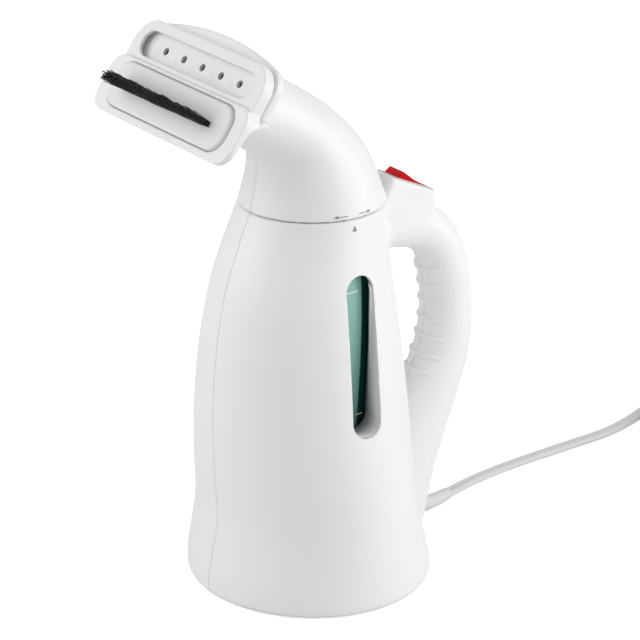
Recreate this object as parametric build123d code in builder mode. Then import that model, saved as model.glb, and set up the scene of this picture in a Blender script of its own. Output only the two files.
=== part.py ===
"""Handheld garment steamer: kettle body with a loop handle, twist-off spout and clip-on brush."""
import os
from math import cos, pi, radians, sin, tan

from build123d import *

os.makedirs("parts", exist_ok=True)

# Driving dimensions, in millimetres. +Z up, -Y to the steam head, +Y to the handle, origin under the base.
wall = 2.4  # moulded shell thickness
part_gap = 0.3  # air between pieces that move past each other
seat_gap = 0.15  # air between fixed pieces that slide together
pin_clearance = 0.04  # radial running clearance of a pivot

# Body: height, half width, half depth and centre of each oval section
collar_height = 181.2
collar_radius = 33.7
collar_y = 1.6
loft_steps = 2
body_sections = [
    (0, 58.4, 55.7, -0.2),
    (10.7, 59.0, 54.8, -1.0),
    (36.7, 57.0, 48.9, -2.0),
    (58.7, 55.4, 48.1, -3.8),
    (86.7, 51.6, 47.7, -4.8),
    (116.7, 46.7, 45.5, -5.0),
    (collar_height - 37.5, 41.6, 41.5, -4.3),
    (collar_height - 18.5, 37.5, 37.4, -2.1),
    (collar_height, collar_radius, collar_radius - 0.01, collar_y),
]
base_edge_radius = 2.5
base_lip_width = 8.0
base_lip_height = 4.0
base_flange_width = 3.0
base_flange_height = 2.0

# Handle: centre y and z, lean of the section from upright, half depth and half width
handle_sections = [
    (28, 160.2, 0, 10.2, 10.0),
    (46, 160.9, 0, 11.2, 11.0),
    (60.6, 157.2, 25, 11.4, 11.3),
    (70.3, 148.0, 50, 11.6, 11.5),
    (75.3, 133.1, 79, 12.1, 12.0),
    (77.3, 115.2, 92, 12.4, 12.3),
    (75.4, 96.7, 100, 13.3, 12.8),
    (70, 80.7, 108, 14.5, 12.8),
    (61.5, 59.7, 110, 15.5, 12.2),
    (54.5, 36.7, 104, 15.5, 10.5),
    (51.5, 8.7, 97, 13.2, 7.5),
]
handle_wall = 2.2
grip_rib_count = 7
grip_rib_first = 3.3  # place of the first rib, counted in handle sections
grip_rib_step = 0.5
grip_rib_proud = 0.7
grip_rib_thickness = 1.6
grip_rib_reach = 4.0  # how far the ribs run past the middle of the grip

# Level window on the right side of the body
window_width = 15.6
window_bottom = 83.7
window_top = 156.7
window_y = -1.3
window_lean = 3.2
window_sleeve = 1.8

# Water tank
tank_y = -2.2
tank_floor = 30.0
tank_taper_height = 22.0
tank_floor_radius = 37.2
tank_shoulder_radius = 34.8
tank_rim_radius = 30.6
tank_wall = 2.0
tank_flange_radius = 44.0
tank_flange_height = 3.0
tank_mouth_radius = 24.6
tank_rim_height = 3.0
neck_depth = 13.5  # from the collar down to the rim of the tank
tank_post_radius = 3.4
tank_post_x = 20.0
tank_post_y = 34.0

tank_rim = collar_height - neck_depth - tank_rim_height
tank_shoulder = tank_rim - tank_taper_height

# Heater stack under the tank
heater_radius = 35.4
heater_thickness = 4.2
heater_seal_height = 1.8
heater_opening_radius = 31.0
element_radius = 24.0
element_wire_radius = 3.6
element_gap_angle = 60.0
clamp_height = 1.5
clamp_inner_radius = 30.0
clamp_ear_radius = 40.2
clamp_ear_width = 9.0
thermostat_radius = 8.0
thermostat_height = 5.0
thermostat_edge = 1.0
fuse_radius = 2.2
fuse_length = 14.0
fuse_y = 13.5

# Screws and feet
screw_radius = 1.5
screw_head_radius = 3.0
screw_head_height = 1.8
screw_length = 10.0
foot_radius = 6.0
foot_x = 36.0
foot_y = 22.0
foot_thickness = 1.6

# Twist lock between the body and the spout
lock_lug_count = 3
lock_lug_angle = 26.0
lock_lug_depth = 2.0
lock_lug_height = 3.2
lock_turn = 40.0
neck_ring_inner = 27.6
neck_ledge_height = 3.0
lock_ring_wall = 2.4
lock_flange_radius = 30.2
gasket_height = 1.6
baffle_hole_count = 6
baffle_hole_radius = 2.5

# Spout: centre y, height above the collar, lean of the section, half depth and half width
spout_lean = 55.0
spout_sections = [
    (0.8, 11.5, 2, 30.2, 30.4),
    (-1.8, 22.5, 7, 26.6, 27.4),
    (-8.8, 33.5, 20, 21.6, 24.6),
    (-20, 41.9, 38, 18.9, 23.3),
    (-34.5, 51.1, 50, 18.2, 23.6),
    (-50.2, 61.4, spout_lean, 17.7, 26.0),
]
spout_spigot = 6.0
spigot_gap = 1.1
steam_tube_radius = 9.0
steam_tube_wall = 1.6
steam_tube_bend = 19.8

# Steam head, measured on its face: across, up the face, and out of the face
face_y = -59.5
face_rise = 72.5  # above the collar
head_half_width = 51.0
head_top = 18.5  # crown of the arched rim
head_shoulder = 11.2  # where the arch meets the sides
head_bottom = -9.0
head_back = -10.5
head_corner = 11.0
head_slope = 3.0  # how much narrower the head is at its back
head_front_inset = 2.2
head_wall = 1.8
head_seal_width = 2.0
plate_depth = 4.0
plate_thickness = 1.6
steam_hole_count = 5
steam_hole_pitch = 14.7
steam_hole_radius = 1.8
steam_row = 1.2

# Clip-on brush frame
frame_half_width = 51.0
frame_top = 12.5
frame_corner = 12.5
frame_face = 1.8
frame_skirt = 6.0
shelf_lip = 1.5
shelf_edge_thickness = 0.8
shelf_back_depth = 1.8
brush_half_width = 54.5
brush_top = -7.2
brush_bottom = -34.5
brush_corner = 8.5
brush_proud = 2.0
slot_half_length = 44.0
slot_bottom = -4.7
slot_top = 7.5
pad_half_length = 46.0
pad_half_height = 10.7
pad_centre = -20.0
pad_corner = 9.0
pad_recess = 2.4
pad_proud = 1.4
pad_margin = 0.5
bristle_half_length = 34.0
bristle_row = -20.5
bristle_rows = 4
bristle_columns = 110
bristle_width = 0.4
bristle_row_pitch = 1.15
bristle_length = 12.5
bristle_rag = 0.8
bristle_fan = 3.0
brush_strip_width = 5.0
brush_strip_height = 2.6

# Rocker switch on the handle's shoulder
switch_y = 53.0
switch_z = 179.7
switch_slope = 24.0
rocker_radius = 9.4
rocker_width = 11.0
rocker_throw = 23.4
rocker_end_angle = 32.0
rocker_valley = 4.4
rocker_pivot_depth = 2.0
rocker_pin_radius = 1.2
rocker_pin_length = 1.0
switch_wall = 1.3
switch_depth = 13.5
bezel_margin = 0.6
bezel_height = 1.2
bezel_corner = 1.5
pedestal_margin = 2.6
pedestal_corner = 3.0
pedestal_depth = 15.0
pedestal_taper = -5.0
terminal_width = 4.8
terminal_thickness = 0.8
terminal_length = 6.0
terminal_count = 3

# Mains lead
cord_diameter = 3.6
lead_diameter = 2.0
lead_spread = 3.2
lead_way_y = 44.0  # passage from the tail of the handle into the body
lead_way_z = 41.7
lead_way_width = 11.0
lead_way_depth = 12.0
lead_way_height = 18.0
lead_drop = [(49, 52.7), (45, 44.3), (42.8, 38.3)]  # y and z of the leads below the handle
heater_lead_bends = [(-5, 42, 22), (-9, 35, 15.5)]
heater_lead_z = 14.5
grommet_radius = 4.2
grommet_length = 26.0
grommet_steps = 9
grommet_tip_radius = 2.9
cord_exit_z = 14.7
cord_start_y = 46.0
grommet_y = 58.0
coil_x = -14.0
coil_y = 290.0
coil_outer = 43.0
coil_step = 2.1
coil_dip = 1.4
coil_layer_pitch = 4.2
coil_runs = [6, 6, 5, 6]
tie_width = 6.0
tie_thickness = 0.8
plug_length = 27.0
plug_width = 21.0
plug_height = 13.0
plug_corner = 3.0
plug_neck_width = 11.6
plug_neck_height = 9.8
plug_grip_length = 10.8
blade_gap = 12.7
blade_width = 6.3
blade_thickness = 1.5
blade_length = 17.0


def between(rows, place):
    """Section part of the way along a list of sections, on a smooth curve through them all."""
    index = min(int(place), len(rows) - 2)
    t = place - index
    around = [rows[min(max(index + step, 0), len(rows) - 1)] for step in (-1, 0, 1, 2)]
    return tuple(
        b + 0.5 * ((c - a) * t + (2 * a - 5 * b + 4 * c - d) * t**2 + (3 * b - a - 3 * c + d) * t**3)
        for a, b, c, d in zip(*around)
    )


def smooth(rows, steps):
    """The same sections with evenly placed ones put in between."""
    return [between(rows, number / steps) for number in range(steps * (len(rows) - 1) + 1)]


def tilted(centre_y, centre_z, lean):
    """Plane of a spout section: across the object, its normal leaning forward by an angle."""
    normal = (0, -sin(radians(lean)), cos(radians(lean)))
    return Plane(origin=(0, centre_y, centre_z), x_dir=(1, 0, 0), z_dir=normal)


def handle_plane(centre_y, centre_z, lean):
    """Plane of a handle section, whose own x axis points to the outside of the loop."""
    outward = (0, sin(radians(lean)), cos(radians(lean)))
    return Plane(origin=(0, centre_y, centre_z), x_dir=outward, z_dir=(0, outward[2], -outward[1]))


def cord_path(points, share=0.45):
    """Straight runs joined by the largest tangent arcs that the runs leave room for."""
    stops = [Vector(*point) for point in points]
    radii = []
    for before, here, after in zip(stops, stops[1:], stops[2:]):
        turn = radians((here - before).get_angle(after - here))
        radii.append(share * min((here - before).length, (after - here).length) / tan(turn / 2))
    return FilletPolyline(*points, radius=radii), radii


def ring(outer, inner, bottom, height, centre_y=0.0):
    """Plain flat ring, for seals and clamps."""
    with BuildPart() as flat_ring:
        with BuildSketch(Plane.XY.offset(bottom)):
            with Locations((0, centre_y)):
                Circle(outer)
                Circle(inner, mode=Mode.SUBTRACT)
        extrude(amount=height)
    return flat_ring.part


def cut_wedges(first_middle, count, span, reach, centre_y):
    """Cut equal wedges, evenly turned about a centre, out of the sketch being drawn."""
    for number in range(count):
        middle = first_middle + number * 360 / count
        sides = [radians(middle - span / 2), radians(middle + span / 2)]
        corners = [(reach * cos(side), centre_y + reach * sin(side)) for side in sides]
        Polygon((0, centre_y), *corners, align=None, mode=Mode.SUBTRACT)


# Outer form of the body and handle, and the space inside them
with BuildPart() as body_form:
    for height, half_width, half_depth, centre in smooth(body_sections, loft_steps):
        with BuildSketch(Plane.XY.offset(height)):
            with Locations((0, centre)):
                Ellipse(half_width, half_depth)
    loft(ruled=True)
    fillet(body_form.edges().group_by(Axis.Z)[0], base_edge_radius)

with BuildPart() as body_space:
    space_sections = [(base_lip_height, *body_sections[0][1:])]
    space_sections += [section for section in smooth(body_sections, loft_steps) if section[0] > base_lip_height]
    space_sections.append((collar_height + wall, *body_sections[-1][1:]))
    for height, half_width, half_depth, centre in space_sections:
        with BuildSketch(Plane.XY.offset(height)):
            with Locations((0, centre)):
                Ellipse(half_width - wall, half_depth - wall)
    loft(ruled=True)

with BuildPart() as handle_form:
    for centre_y, centre_z, lean, half_depth, half_width in smooth(handle_sections, loft_steps):
        with BuildSketch(handle_plane(centre_y, centre_z, lean)):
            Ellipse(half_depth, half_width)
    loft(ruled=True)
    for number in range(grip_rib_count):
        rib = between(handle_sections, grip_rib_first + number * grip_rib_step)
        centre_y, centre_z, lean, half_depth, half_width = rib
        with BuildSketch(handle_plane(centre_y, centre_z, lean)):
            Ellipse(half_depth + grip_rib_proud, half_width + grip_rib_proud)
            with Locations((half_depth, 0)):
                Rectangle(2 * half_depth - grip_rib_reach, 4 * half_width, mode=Mode.SUBTRACT)
        extrude(amount=grip_rib_thickness / 2, both=True)

with BuildPart() as handle_space:
    for centre_y, centre_z, lean, half_depth, half_width in smooth(handle_sections[:-1], loft_steps):
        with BuildSketch(handle_plane(centre_y, centre_z, lean)):
            Ellipse(half_depth - handle_wall, half_width - handle_wall)
    loft(ruled=True)

# Switch seat: a tapered pedestal on the handle's shoulder
switch_normal = (0, sin(radians(switch_slope)), cos(radians(switch_slope)))
switch_plane = Plane(origin=(0, switch_y, switch_z), x_dir=(1, 0, 0), z_dir=switch_normal)
housing_length = 2 * (rocker_radius + part_gap + switch_wall)
housing_width = rocker_width + 2 * (part_gap + switch_wall)
terminal_pitch = (housing_length - 2 * switch_wall) / terminal_count
bezel_length = housing_length + 2 * bezel_margin
bezel_width = housing_width + 2 * bezel_margin

with BuildPart() as pedestal_form:
    with BuildSketch(switch_plane):
        RectangleRounded(bezel_width + pedestal_margin, bezel_length + pedestal_margin / 2, pedestal_corner)
    extrude(amount=-pedestal_depth, taper=pedestal_taper)

with BuildPart() as switch_pocket:
    with BuildSketch(switch_plane):
        Rectangle(housing_width + 2 * seat_gap, housing_length + 2 * seat_gap)
    extrude(amount=-(switch_depth + terminal_length + 2), both=False)
    with BuildSketch(switch_plane):
        Rectangle(housing_width + 2 * seat_gap, housing_length + 2 * seat_gap)
    extrude(amount=bezel_height)

# Slot through the right wall to the tank, with a sleeve that reaches in to it
window_length = window_top - window_bottom
window_z = (window_top + window_bottom) / 2
tank_reach = tank_floor_radius + part_gap
window_plane = Plane(origin=(tank_reach, window_y, window_z), x_dir=(0, 1, 0), z_dir=(1, 0, 0))
window_out = body_sections[1][1]

with BuildPart() as window_tube:
    with BuildSketch(window_plane):
        SlotOverall(window_length + 2 * window_sleeve, window_width + 2 * window_sleeve, 90 - window_lean)
    extrude(amount=window_out - tank_reach)
    add(body_form.part, mode=Mode.INTERSECT)

with BuildPart() as window_hole:
    with BuildSketch(window_plane.offset(-wall)):
        SlotOverall(window_length, window_width, 90 - window_lean)
    extrude(amount=window_out - tank_reach + 2 * wall)

# Lead's way out of the tail of the handle
cord_plane = Plane(origin=(0, cord_start_y, cord_exit_z), x_dir=(1, 0, 0), z_dir=(0, 1, 0))
with BuildPart() as cord_hole:
    with BuildSketch(cord_plane):
        Circle(grommet_radius + seat_gap)
    extrude(amount=grommet_y - cord_start_y + grommet_length)

# Both halves of the body as one closed shell, still uncut
base_half_width, base_half_depth, base_y = body_sections[0][1:]
opening_half_width = base_half_width - base_lip_width
opening_half_depth = base_half_depth - base_lip_width

with BuildPart() as body_shell:
    add(body_form.part)
    add(handle_form.part)
    add(pedestal_form.part)
    add(body_space.part, mode=Mode.SUBTRACT)
    add(handle_space.part, mode=Mode.SUBTRACT)
    add(switch_pocket.part, mode=Mode.SUBTRACT)
    add(cord_hole.part, mode=Mode.SUBTRACT)
    with BuildSketch(Plane.XY):
        with Locations((0, base_y)):
            Ellipse(opening_half_width, opening_half_depth)
    extrude(amount=base_lip_height + part_gap, mode=Mode.SUBTRACT)
    with Locations((0, lead_way_y, lead_way_z)):
        Box(lead_way_width, lead_way_depth, lead_way_height, mode=Mode.SUBTRACT)

# Right half, with the level window
with BuildPart() as body_shell_right:
    add(body_shell.part)
    split(bisect_by=Plane.YZ, keep=Keep.TOP)
    add(window_tube.part)
    add(window_hole.part, mode=Mode.SUBTRACT)
body_shell_right.part.label = "body_shell_right"
export_step(body_shell_right.part, "parts/body_shell_right.step")

# Left half
with BuildPart() as body_shell_left:
    add(body_shell.part)
    split(bisect_by=Plane.YZ, keep=Keep.BOTTOM)
body_shell_left.part.label = "body_shell_left"
export_step(body_shell_left.part, "parts/body_shell_left.step")

# Base cover, trapped by its flange over the lip of the shells
cover_top = base_lip_height + base_flange_height
post_spots = [(x, tank_y + y) for x in (-tank_post_x, tank_post_x) for y in (-tank_post_y, tank_post_y)]
foot_spots = [(x, y) for x in (-foot_x, foot_x) for y in (-foot_y, foot_y)]

with BuildPart() as base_cover:
    with BuildSketch(Plane.XY):
        with Locations((0, base_y)):
            Ellipse(opening_half_width - seat_gap, opening_half_depth - seat_gap)
    extrude(amount=base_lip_height)
    with BuildSketch(Plane.XY.offset(base_lip_height)):
        with Locations((0, base_y)):
            Ellipse(opening_half_width + base_flange_width, opening_half_depth + base_flange_width)
    extrude(amount=base_flange_height)
    with BuildSketch(Plane.XY):
        with Locations(*post_spots):
            Circle(screw_head_radius + seat_gap)
    extrude(amount=screw_head_height + seat_gap, mode=Mode.SUBTRACT)
    with BuildSketch(Plane.XY):
        with Locations(*post_spots):
            Circle(screw_radius + seat_gap)
    extrude(amount=cover_top, mode=Mode.SUBTRACT)
    with BuildSketch(Plane.XY):
        with Locations(*foot_spots):
            Circle(foot_radius + seat_gap)
    extrude(amount=foot_thickness, mode=Mode.SUBTRACT)
base_cover.part.label = "base_cover"
export_step(base_cover.part, "parts/base_cover.step")

# Four rubber feet, glued flush into round pockets of the base cover
with BuildPart() as rubber_feet:
    with BuildSketch(Plane.XY):
        with Locations(*foot_spots):
            Circle(foot_radius)
    extrude(amount=foot_thickness)
rubber_feet.part.label = "rubber_feet"
export_step(rubber_feet.part, "parts/rubber_feet.step")

# Four screws from the base cover up into the tank's posts
screw_seat = screw_head_height + seat_gap
with BuildPart() as base_screws:
    with BuildSketch(Plane.XY.offset(seat_gap)):
        with Locations(*post_spots):
            Circle(screw_head_radius)
    extrude(amount=screw_head_height)
    with BuildSketch(Plane.XY.offset(screw_seat)):
        with Locations(*post_spots):
            Circle(screw_radius)
    extrude(amount=screw_length)
base_screws.part.label = "base_screws"
export_step(base_screws.part, "parts/base_screws.step")

# Tank: see-through bottle on a flange with four posts, with a turned-in rim at its mouth
tank_profile = [
    (tank_floor, tank_floor_radius, tank_y),
    ((tank_floor + tank_shoulder) / 2, (tank_floor_radius + tank_shoulder_radius) / 2, tank_y),
    (tank_shoulder, tank_shoulder_radius, tank_y),
    (tank_rim, tank_rim_radius, collar_y),
]
clamp_angles = (0, 180)
clamp_spots = [
    (clamp_ear_radius * cos(radians(angle)), tank_y + clamp_ear_radius * sin(radians(angle)))
    for angle in clamp_angles
]

with BuildPart() as water_tank:
    for height, radius, centre in tank_profile:
        with BuildSketch(Plane.XY.offset(height)):
            with Locations((0, centre)):
                Circle(radius)
    loft()
    with BuildSketch(Plane.XY.offset(tank_rim)):
        with Locations((0, collar_y)):
            Circle(tank_rim_radius)
    extrude(amount=tank_rim_height)
    with BuildSketch(Plane.XY.offset(tank_floor)):
        with Locations((0, tank_y)):
            Circle(tank_flange_radius)
    extrude(amount=tank_flange_height)
    with BuildSketch(Plane.XY.offset(cover_top)):
        with Locations(*post_spots):
            Circle(tank_post_radius)
    extrude(amount=tank_floor + tank_flange_height - cover_top)
    for height, radius, centre in tank_profile:
        with BuildSketch(Plane.XY.offset(height)):
            with Locations((0, centre)):
                Circle(radius - tank_wall)
    loft(mode=Mode.SUBTRACT)
    with BuildSketch(Plane.XY.offset(tank_rim)):
        with Locations((0, collar_y)):
            Circle(tank_mouth_radius)
    extrude(amount=tank_rim_height, mode=Mode.SUBTRACT)
    with BuildSketch(Plane.XY.offset(cover_top)):
        with Locations(*post_spots):
            Circle(screw_radius + seat_gap)
    extrude(amount=screw_length, mode=Mode.SUBTRACT)
    with BuildSketch(Plane.XY.offset(tank_floor)):
        with Locations(*clamp_spots):
            Circle(screw_radius + seat_gap)
    extrude(amount=tank_flange_height, mode=Mode.SUBTRACT)
water_tank.part.label = "water_tank"
export_step(water_tank.part, "parts/water_tank.step")

# Heater plate, sealed against the tank's open floor
heater_top = tank_floor - heater_seal_height
heater_bottom = heater_top - heater_thickness

with BuildPart() as heater_seal:
    add(ring(heater_radius, heater_opening_radius, heater_top, heater_seal_height, tank_y))
heater_seal.part.label = "heater_seal"
export_step(heater_seal.part, "parts/heater_seal.step")

with BuildPart() as heater_plate:
    with BuildSketch(Plane.XY.offset(heater_bottom)):
        with Locations((0, tank_y)):
            Circle(heater_radius)
    extrude(amount=heater_thickness)
    with BuildSketch(Plane.XY.offset(heater_top)):
        with Locations((0, tank_y)):
            Circle(heater_opening_radius - part_gap)
    extrude(amount=heater_seal_height)
heater_plate.part.label = "heater_plate"
export_step(heater_plate.part, "parts/heater_plate.step")

# Sheathed heating element, an open ring brazed under the plate, with its two cold ends turned down
element_z = heater_bottom - element_wire_radius
element_start = 90 + element_gap_angle / 2
with BuildPart() as heating_element:
    with BuildLine(Plane.XY.offset(element_z)) as element_line:
        CenterArc((0, tank_y), element_radius, element_start, 360 - element_gap_angle)
    with BuildSketch(Plane(origin=element_line.line @ 0, z_dir=element_line.line % 0)):
        Circle(element_wire_radius)
    sweep()
    for end in (element_line.line @ 0, element_line.line @ 1):
        with BuildSketch(Plane(origin=end - Vector(0, 0, element_wire_radius), x_dir=(1, 0, 0))):
            Circle(element_wire_radius / 2)
        extrude(amount=-element_wire_radius, both=True)
heating_element.part.label = "heating_element"
export_step(heating_element.part, "parts/heating_element.step")

# Steel clamp ring with two ears, and its screws
with BuildPart() as clamp_ring:
    with BuildSketch(Plane.XY.offset(heater_bottom - clamp_height)):
        with Locations((0, tank_y)):
            Circle(heater_radius)
        with Locations((0, tank_y)):
            with PolarLocations(clamp_ear_radius / 2, len(clamp_angles), clamp_angles[0]):
                SlotOverall(clamp_ear_radius + clamp_ear_width, clamp_ear_width)
        with Locations((0, tank_y)):
            Circle(clamp_inner_radius, mode=Mode.SUBTRACT)
        with Locations(*clamp_spots):
            Circle(screw_radius + seat_gap, mode=Mode.SUBTRACT)
    extrude(amount=clamp_height)
clamp_ring.part.label = "clamp_ring"
export_step(clamp_ring.part, "parts/clamp_ring.step")

with BuildPart() as clamp_screws:
    with BuildSketch(Plane.XY.offset(heater_bottom - clamp_height - screw_head_height)):
        with Locations(*clamp_spots):
            Circle(screw_head_radius)
    extrude(amount=screw_head_height)
    with BuildSketch(Plane.XY.offset(heater_bottom - clamp_height)):
        with Locations(*clamp_spots):
            Circle(screw_radius)
    extrude(amount=tank_floor + tank_flange_height - heater_bottom + clamp_height)
clamp_screws.part.label = "clamp_screws"
export_step(clamp_screws.part, "parts/clamp_screws.step")

# Cut-out thermostat and thermal fuse on the underside of the plate
with BuildPart() as thermostat:
    with BuildSketch(Plane.XY.offset(heater_bottom)):
        with Locations((0, tank_y)):
            Circle(thermostat_radius)
    extrude(amount=-thermostat_height)
    chamfer(thermostat.edges().group_by(Axis.Z)[0], thermostat_edge)
thermostat.part.label = "thermostat"
export_step(thermostat.part, "parts/thermostat.step")

fuse_plane = Plane(
    origin=(-fuse_length / 2, tank_y + fuse_y, heater_bottom - fuse_radius), x_dir=(0, 1, 0), z_dir=(1, 0, 0)
)
with BuildPart() as thermal_fuse:
    with BuildSketch(fuse_plane):
        Circle(fuse_radius)
    extrude(amount=fuse_length)
    fillet(thermal_fuse.edges().filter_by(GeomType.CIRCLE), fuse_radius / 2)
thermal_fuse.part.label = "thermal_fuse"
export_step(thermal_fuse.part, "parts/thermal_fuse.step")

# Neck ring: three ledges, with gaps between them where the lugs of the spout drop in
neck_bottom = tank_rim + tank_rim_height
neck_top = collar_height - part_gap
neck_outer = collar_radius - wall - seat_gap
neck_groove = neck_ring_inner + lock_lug_depth
gap_angle = lock_lug_angle + 4
ledge_bottom = neck_top - neck_ledge_height

with BuildPart() as neck_ring:
    with BuildSketch(Plane.XY.offset(neck_bottom)):
        with Locations((0, collar_y)):
            Circle(neck_outer)
            Circle(neck_groove, mode=Mode.SUBTRACT)
    extrude(amount=neck_top - neck_bottom)
    with BuildSketch(Plane.XY.offset(ledge_bottom)):
        with Locations((0, collar_y)):
            Circle(neck_groove)
            Circle(neck_ring_inner, mode=Mode.SUBTRACT)
        cut_wedges(90 - lock_turn, lock_lug_count, gap_angle, 2 * neck_outer, collar_y)
    extrude(amount=neck_ledge_height)
neck_ring.part.label = "neck_ring"
export_step(neck_ring.part, "parts/neck_ring.step")

# Lock ring of the spout, with three lugs under the ledges, and the gasket on its foot
lock_outer = neck_ring_inner - part_gap
lock_inner = lock_outer - lock_ring_wall
lock_bottom = neck_bottom + part_gap + gasket_height
spout_bottom = collar_height + part_gap
lug_top = ledge_bottom - part_gap

with BuildPart() as lock_ring:
    with BuildSketch(Plane.XY.offset(lock_bottom)):
        with Locations((0, collar_y)):
            Circle(lock_outer)
            Circle(lock_inner, mode=Mode.SUBTRACT)
    extrude(amount=spout_bottom - lock_bottom)
    with BuildSketch(Plane.XY.offset(spout_bottom)):
        with Locations((0, collar_y)):
            Circle(lock_flange_radius)
            Circle(lock_inner, mode=Mode.SUBTRACT)
    extrude(amount=wall)
    with BuildSketch(Plane.XY.offset(lug_top - lock_lug_height)):
        with Locations((0, collar_y)):
            Circle(lock_outer + lock_lug_depth - part_gap)
            Circle(lock_inner, mode=Mode.SUBTRACT)
        lug_pitch = 360 / lock_lug_count
        cut_wedges(90 + lug_pitch / 2, lock_lug_count, lug_pitch - lock_lug_angle, 2 * neck_outer, collar_y)
    extrude(amount=lock_lug_height)
lock_ring.part.label = "lock_ring"
export_step(lock_ring.part, "parts/lock_ring.step")

with BuildPart() as mouth_gasket:
    add(ring(lock_outer, lock_inner, lock_bottom - gasket_height, gasket_height, collar_y))
mouth_gasket.part.label = "mouth_gasket"
export_step(mouth_gasket.part, "parts/mouth_gasket.step")

# Spout: two halves of a bent neck that narrows to the steam head
neck_sections = [(collar_y, spout_bottom, 0, collar_radius - 0.01, collar_radius)]
neck_sections += [(y, collar_height + rise, lean, depth, width) for y, rise, lean, depth, width in spout_sections]

with BuildPart() as spout_shell_right:
    for centre_y, centre_z, lean, half_depth, half_width in smooth(neck_sections, loft_steps):
        with BuildSketch(tilted(centre_y, centre_z, lean)):
            Ellipse(half_width, half_depth)
            Ellipse(half_width - wall, half_depth - wall, mode=Mode.SUBTRACT)
            with Locations((-half_width, 0)):
                Rectangle(2 * half_width, 4 * half_width, mode=Mode.SUBTRACT)
    loft(ruled=True)
spout_shell_right.part.label = "spout_shell_right"
export_step(spout_shell_right.part, "parts/spout_shell_right.step")

with BuildPart() as spout_shell_left:
    add(mirror(spout_shell_right.part, about=Plane.YZ))
spout_shell_left.part.label = "spout_shell_left"
export_step(spout_shell_left.part, "parts/spout_shell_left.step")

# Steam head: a cup with a stepped front, a back wall and a spigot inside the end of the neck
face_plane = tilted(face_y, collar_height + face_rise, spout_lean)
neck_end_y, neck_end_z, neck_end_lean, neck_end_depth, neck_end_width = neck_sections[-1]
neck_end = tilted(neck_end_y, neck_end_z, neck_end_lean)
neck_end_depth_on_face = face_plane.to_local_coords(Vector(0, neck_end_y, neck_end_z)).Z
neck_end_row = face_plane.to_local_coords(Vector(0, neck_end_y, neck_end_z)).Y
rear_half_width = head_half_width - head_slope
cup_height = frame_top - head_front_inset - (head_bottom + head_front_inset)
cup_row = (frame_top + head_bottom) / 2
cup_half_width = head_half_width - head_front_inset
cup_front = -frame_face - part_gap
cup_corner = min(head_corner, cup_height / 2 - 0.1)
spigot_clear = wall + spigot_gap

with BuildPart() as steam_head:
    with BuildSketch(face_plane.offset(neck_end_depth_on_face)):
        with Locations((0, neck_end_row)):
            Ellipse(neck_end_width, neck_end_depth)
    extrude(amount=head_wall)
    with BuildSketch(face_plane.offset(neck_end_depth_on_face + head_wall)) as head_rear:
        with BuildLine():
            rear_sides = Polyline(
                (rear_half_width, head_shoulder - head_slope),
                (rear_half_width, head_bottom + head_slope),
                (-rear_half_width, head_bottom + head_slope),
                (-rear_half_width, head_shoulder - head_slope),
            )
            ThreePointArc(rear_sides @ 0, (0, head_top - head_slope), rear_sides @ 1)
        make_face()
        fillet(head_rear.vertices().group_by(Axis.Y)[-1], head_corner - head_slope)
    with BuildSketch(face_plane.offset(head_back)) as head_rim:
        with BuildLine():
            rim_sides = Polyline(
                (head_half_width, head_shoulder),
                (head_half_width, head_bottom),
                (-head_half_width, head_bottom),
                (-head_half_width, head_shoulder),
            )
            ThreePointArc(rim_sides @ 0, (0, head_top), rim_sides @ 1)
        make_face()
        fillet(head_rim.vertices().group_by(Axis.Y)[-1], head_corner)
    loft()
    extrude(head_rim.sketch, amount=-head_back - frame_skirt - part_gap)
    with BuildSketch(face_plane.offset(head_back)):
        with Locations((0, cup_row)):
            RectangleRounded(2 * cup_half_width, cup_height, cup_corner)
    extrude(amount=cup_front - head_back)
    with BuildSketch(face_plane.offset(head_back)):
        with Locations((0, cup_row)):
            RectangleRounded(2 * (cup_half_width - head_wall), cup_height - 2 * head_wall, cup_corner - head_wall)
    extrude(amount=cup_front - head_back, mode=Mode.SUBTRACT)
    with BuildSketch(face_plane.offset(neck_end_depth_on_face)):
        with Locations((0, neck_end_row)):
            Ellipse(neck_end_width - spigot_clear, neck_end_depth - spigot_clear)
    extrude(amount=-spout_spigot)
    with BuildSketch(face_plane.offset(neck_end_depth_on_face - spout_spigot)):
        with Locations((0, cup_row)):
            Circle(steam_tube_radius - steam_tube_wall)
    extrude(amount=spout_spigot - neck_end_depth_on_face + head_back, mode=Mode.SUBTRACT)
steam_head.part.label = "steam_head"
export_step(steam_head.part, "parts/steam_head.step")

# Steam plate with its row of holes, on a soft seal
plate_half_width = cup_half_width - head_wall - seat_gap
plate_height = cup_height - 2 * head_wall - 2 * seat_gap
plate_corner = cup_corner - head_wall - seat_gap
plate_back = -plate_depth - plate_thickness

with BuildPart() as steam_plate:
    with BuildSketch(face_plane.offset(plate_back)):
        with Locations((0, cup_row)):
            RectangleRounded(2 * plate_half_width, plate_height, plate_corner)
        with Locations((0, steam_row)):
            with GridLocations(steam_hole_pitch, 1, steam_hole_count, 1):
                Circle(steam_hole_radius, mode=Mode.SUBTRACT)
    extrude(amount=plate_thickness)
steam_plate.part.label = "steam_plate"
export_step(steam_plate.part, "parts/steam_plate.step")

with BuildPart() as head_seal:
    with BuildSketch(face_plane.offset(head_back)):
        with Locations((0, cup_row)):
            RectangleRounded(2 * plate_half_width, plate_height, plate_corner)
            RectangleRounded(
                2 * (plate_half_width - head_seal_width),
                plate_height - 2 * head_seal_width,
                plate_corner - head_seal_width,
                mode=Mode.SUBTRACT,
            )
    extrude(amount=plate_back - head_back)
head_seal.part.label = "head_seal"
export_step(head_seal.part, "parts/head_seal.step")

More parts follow.
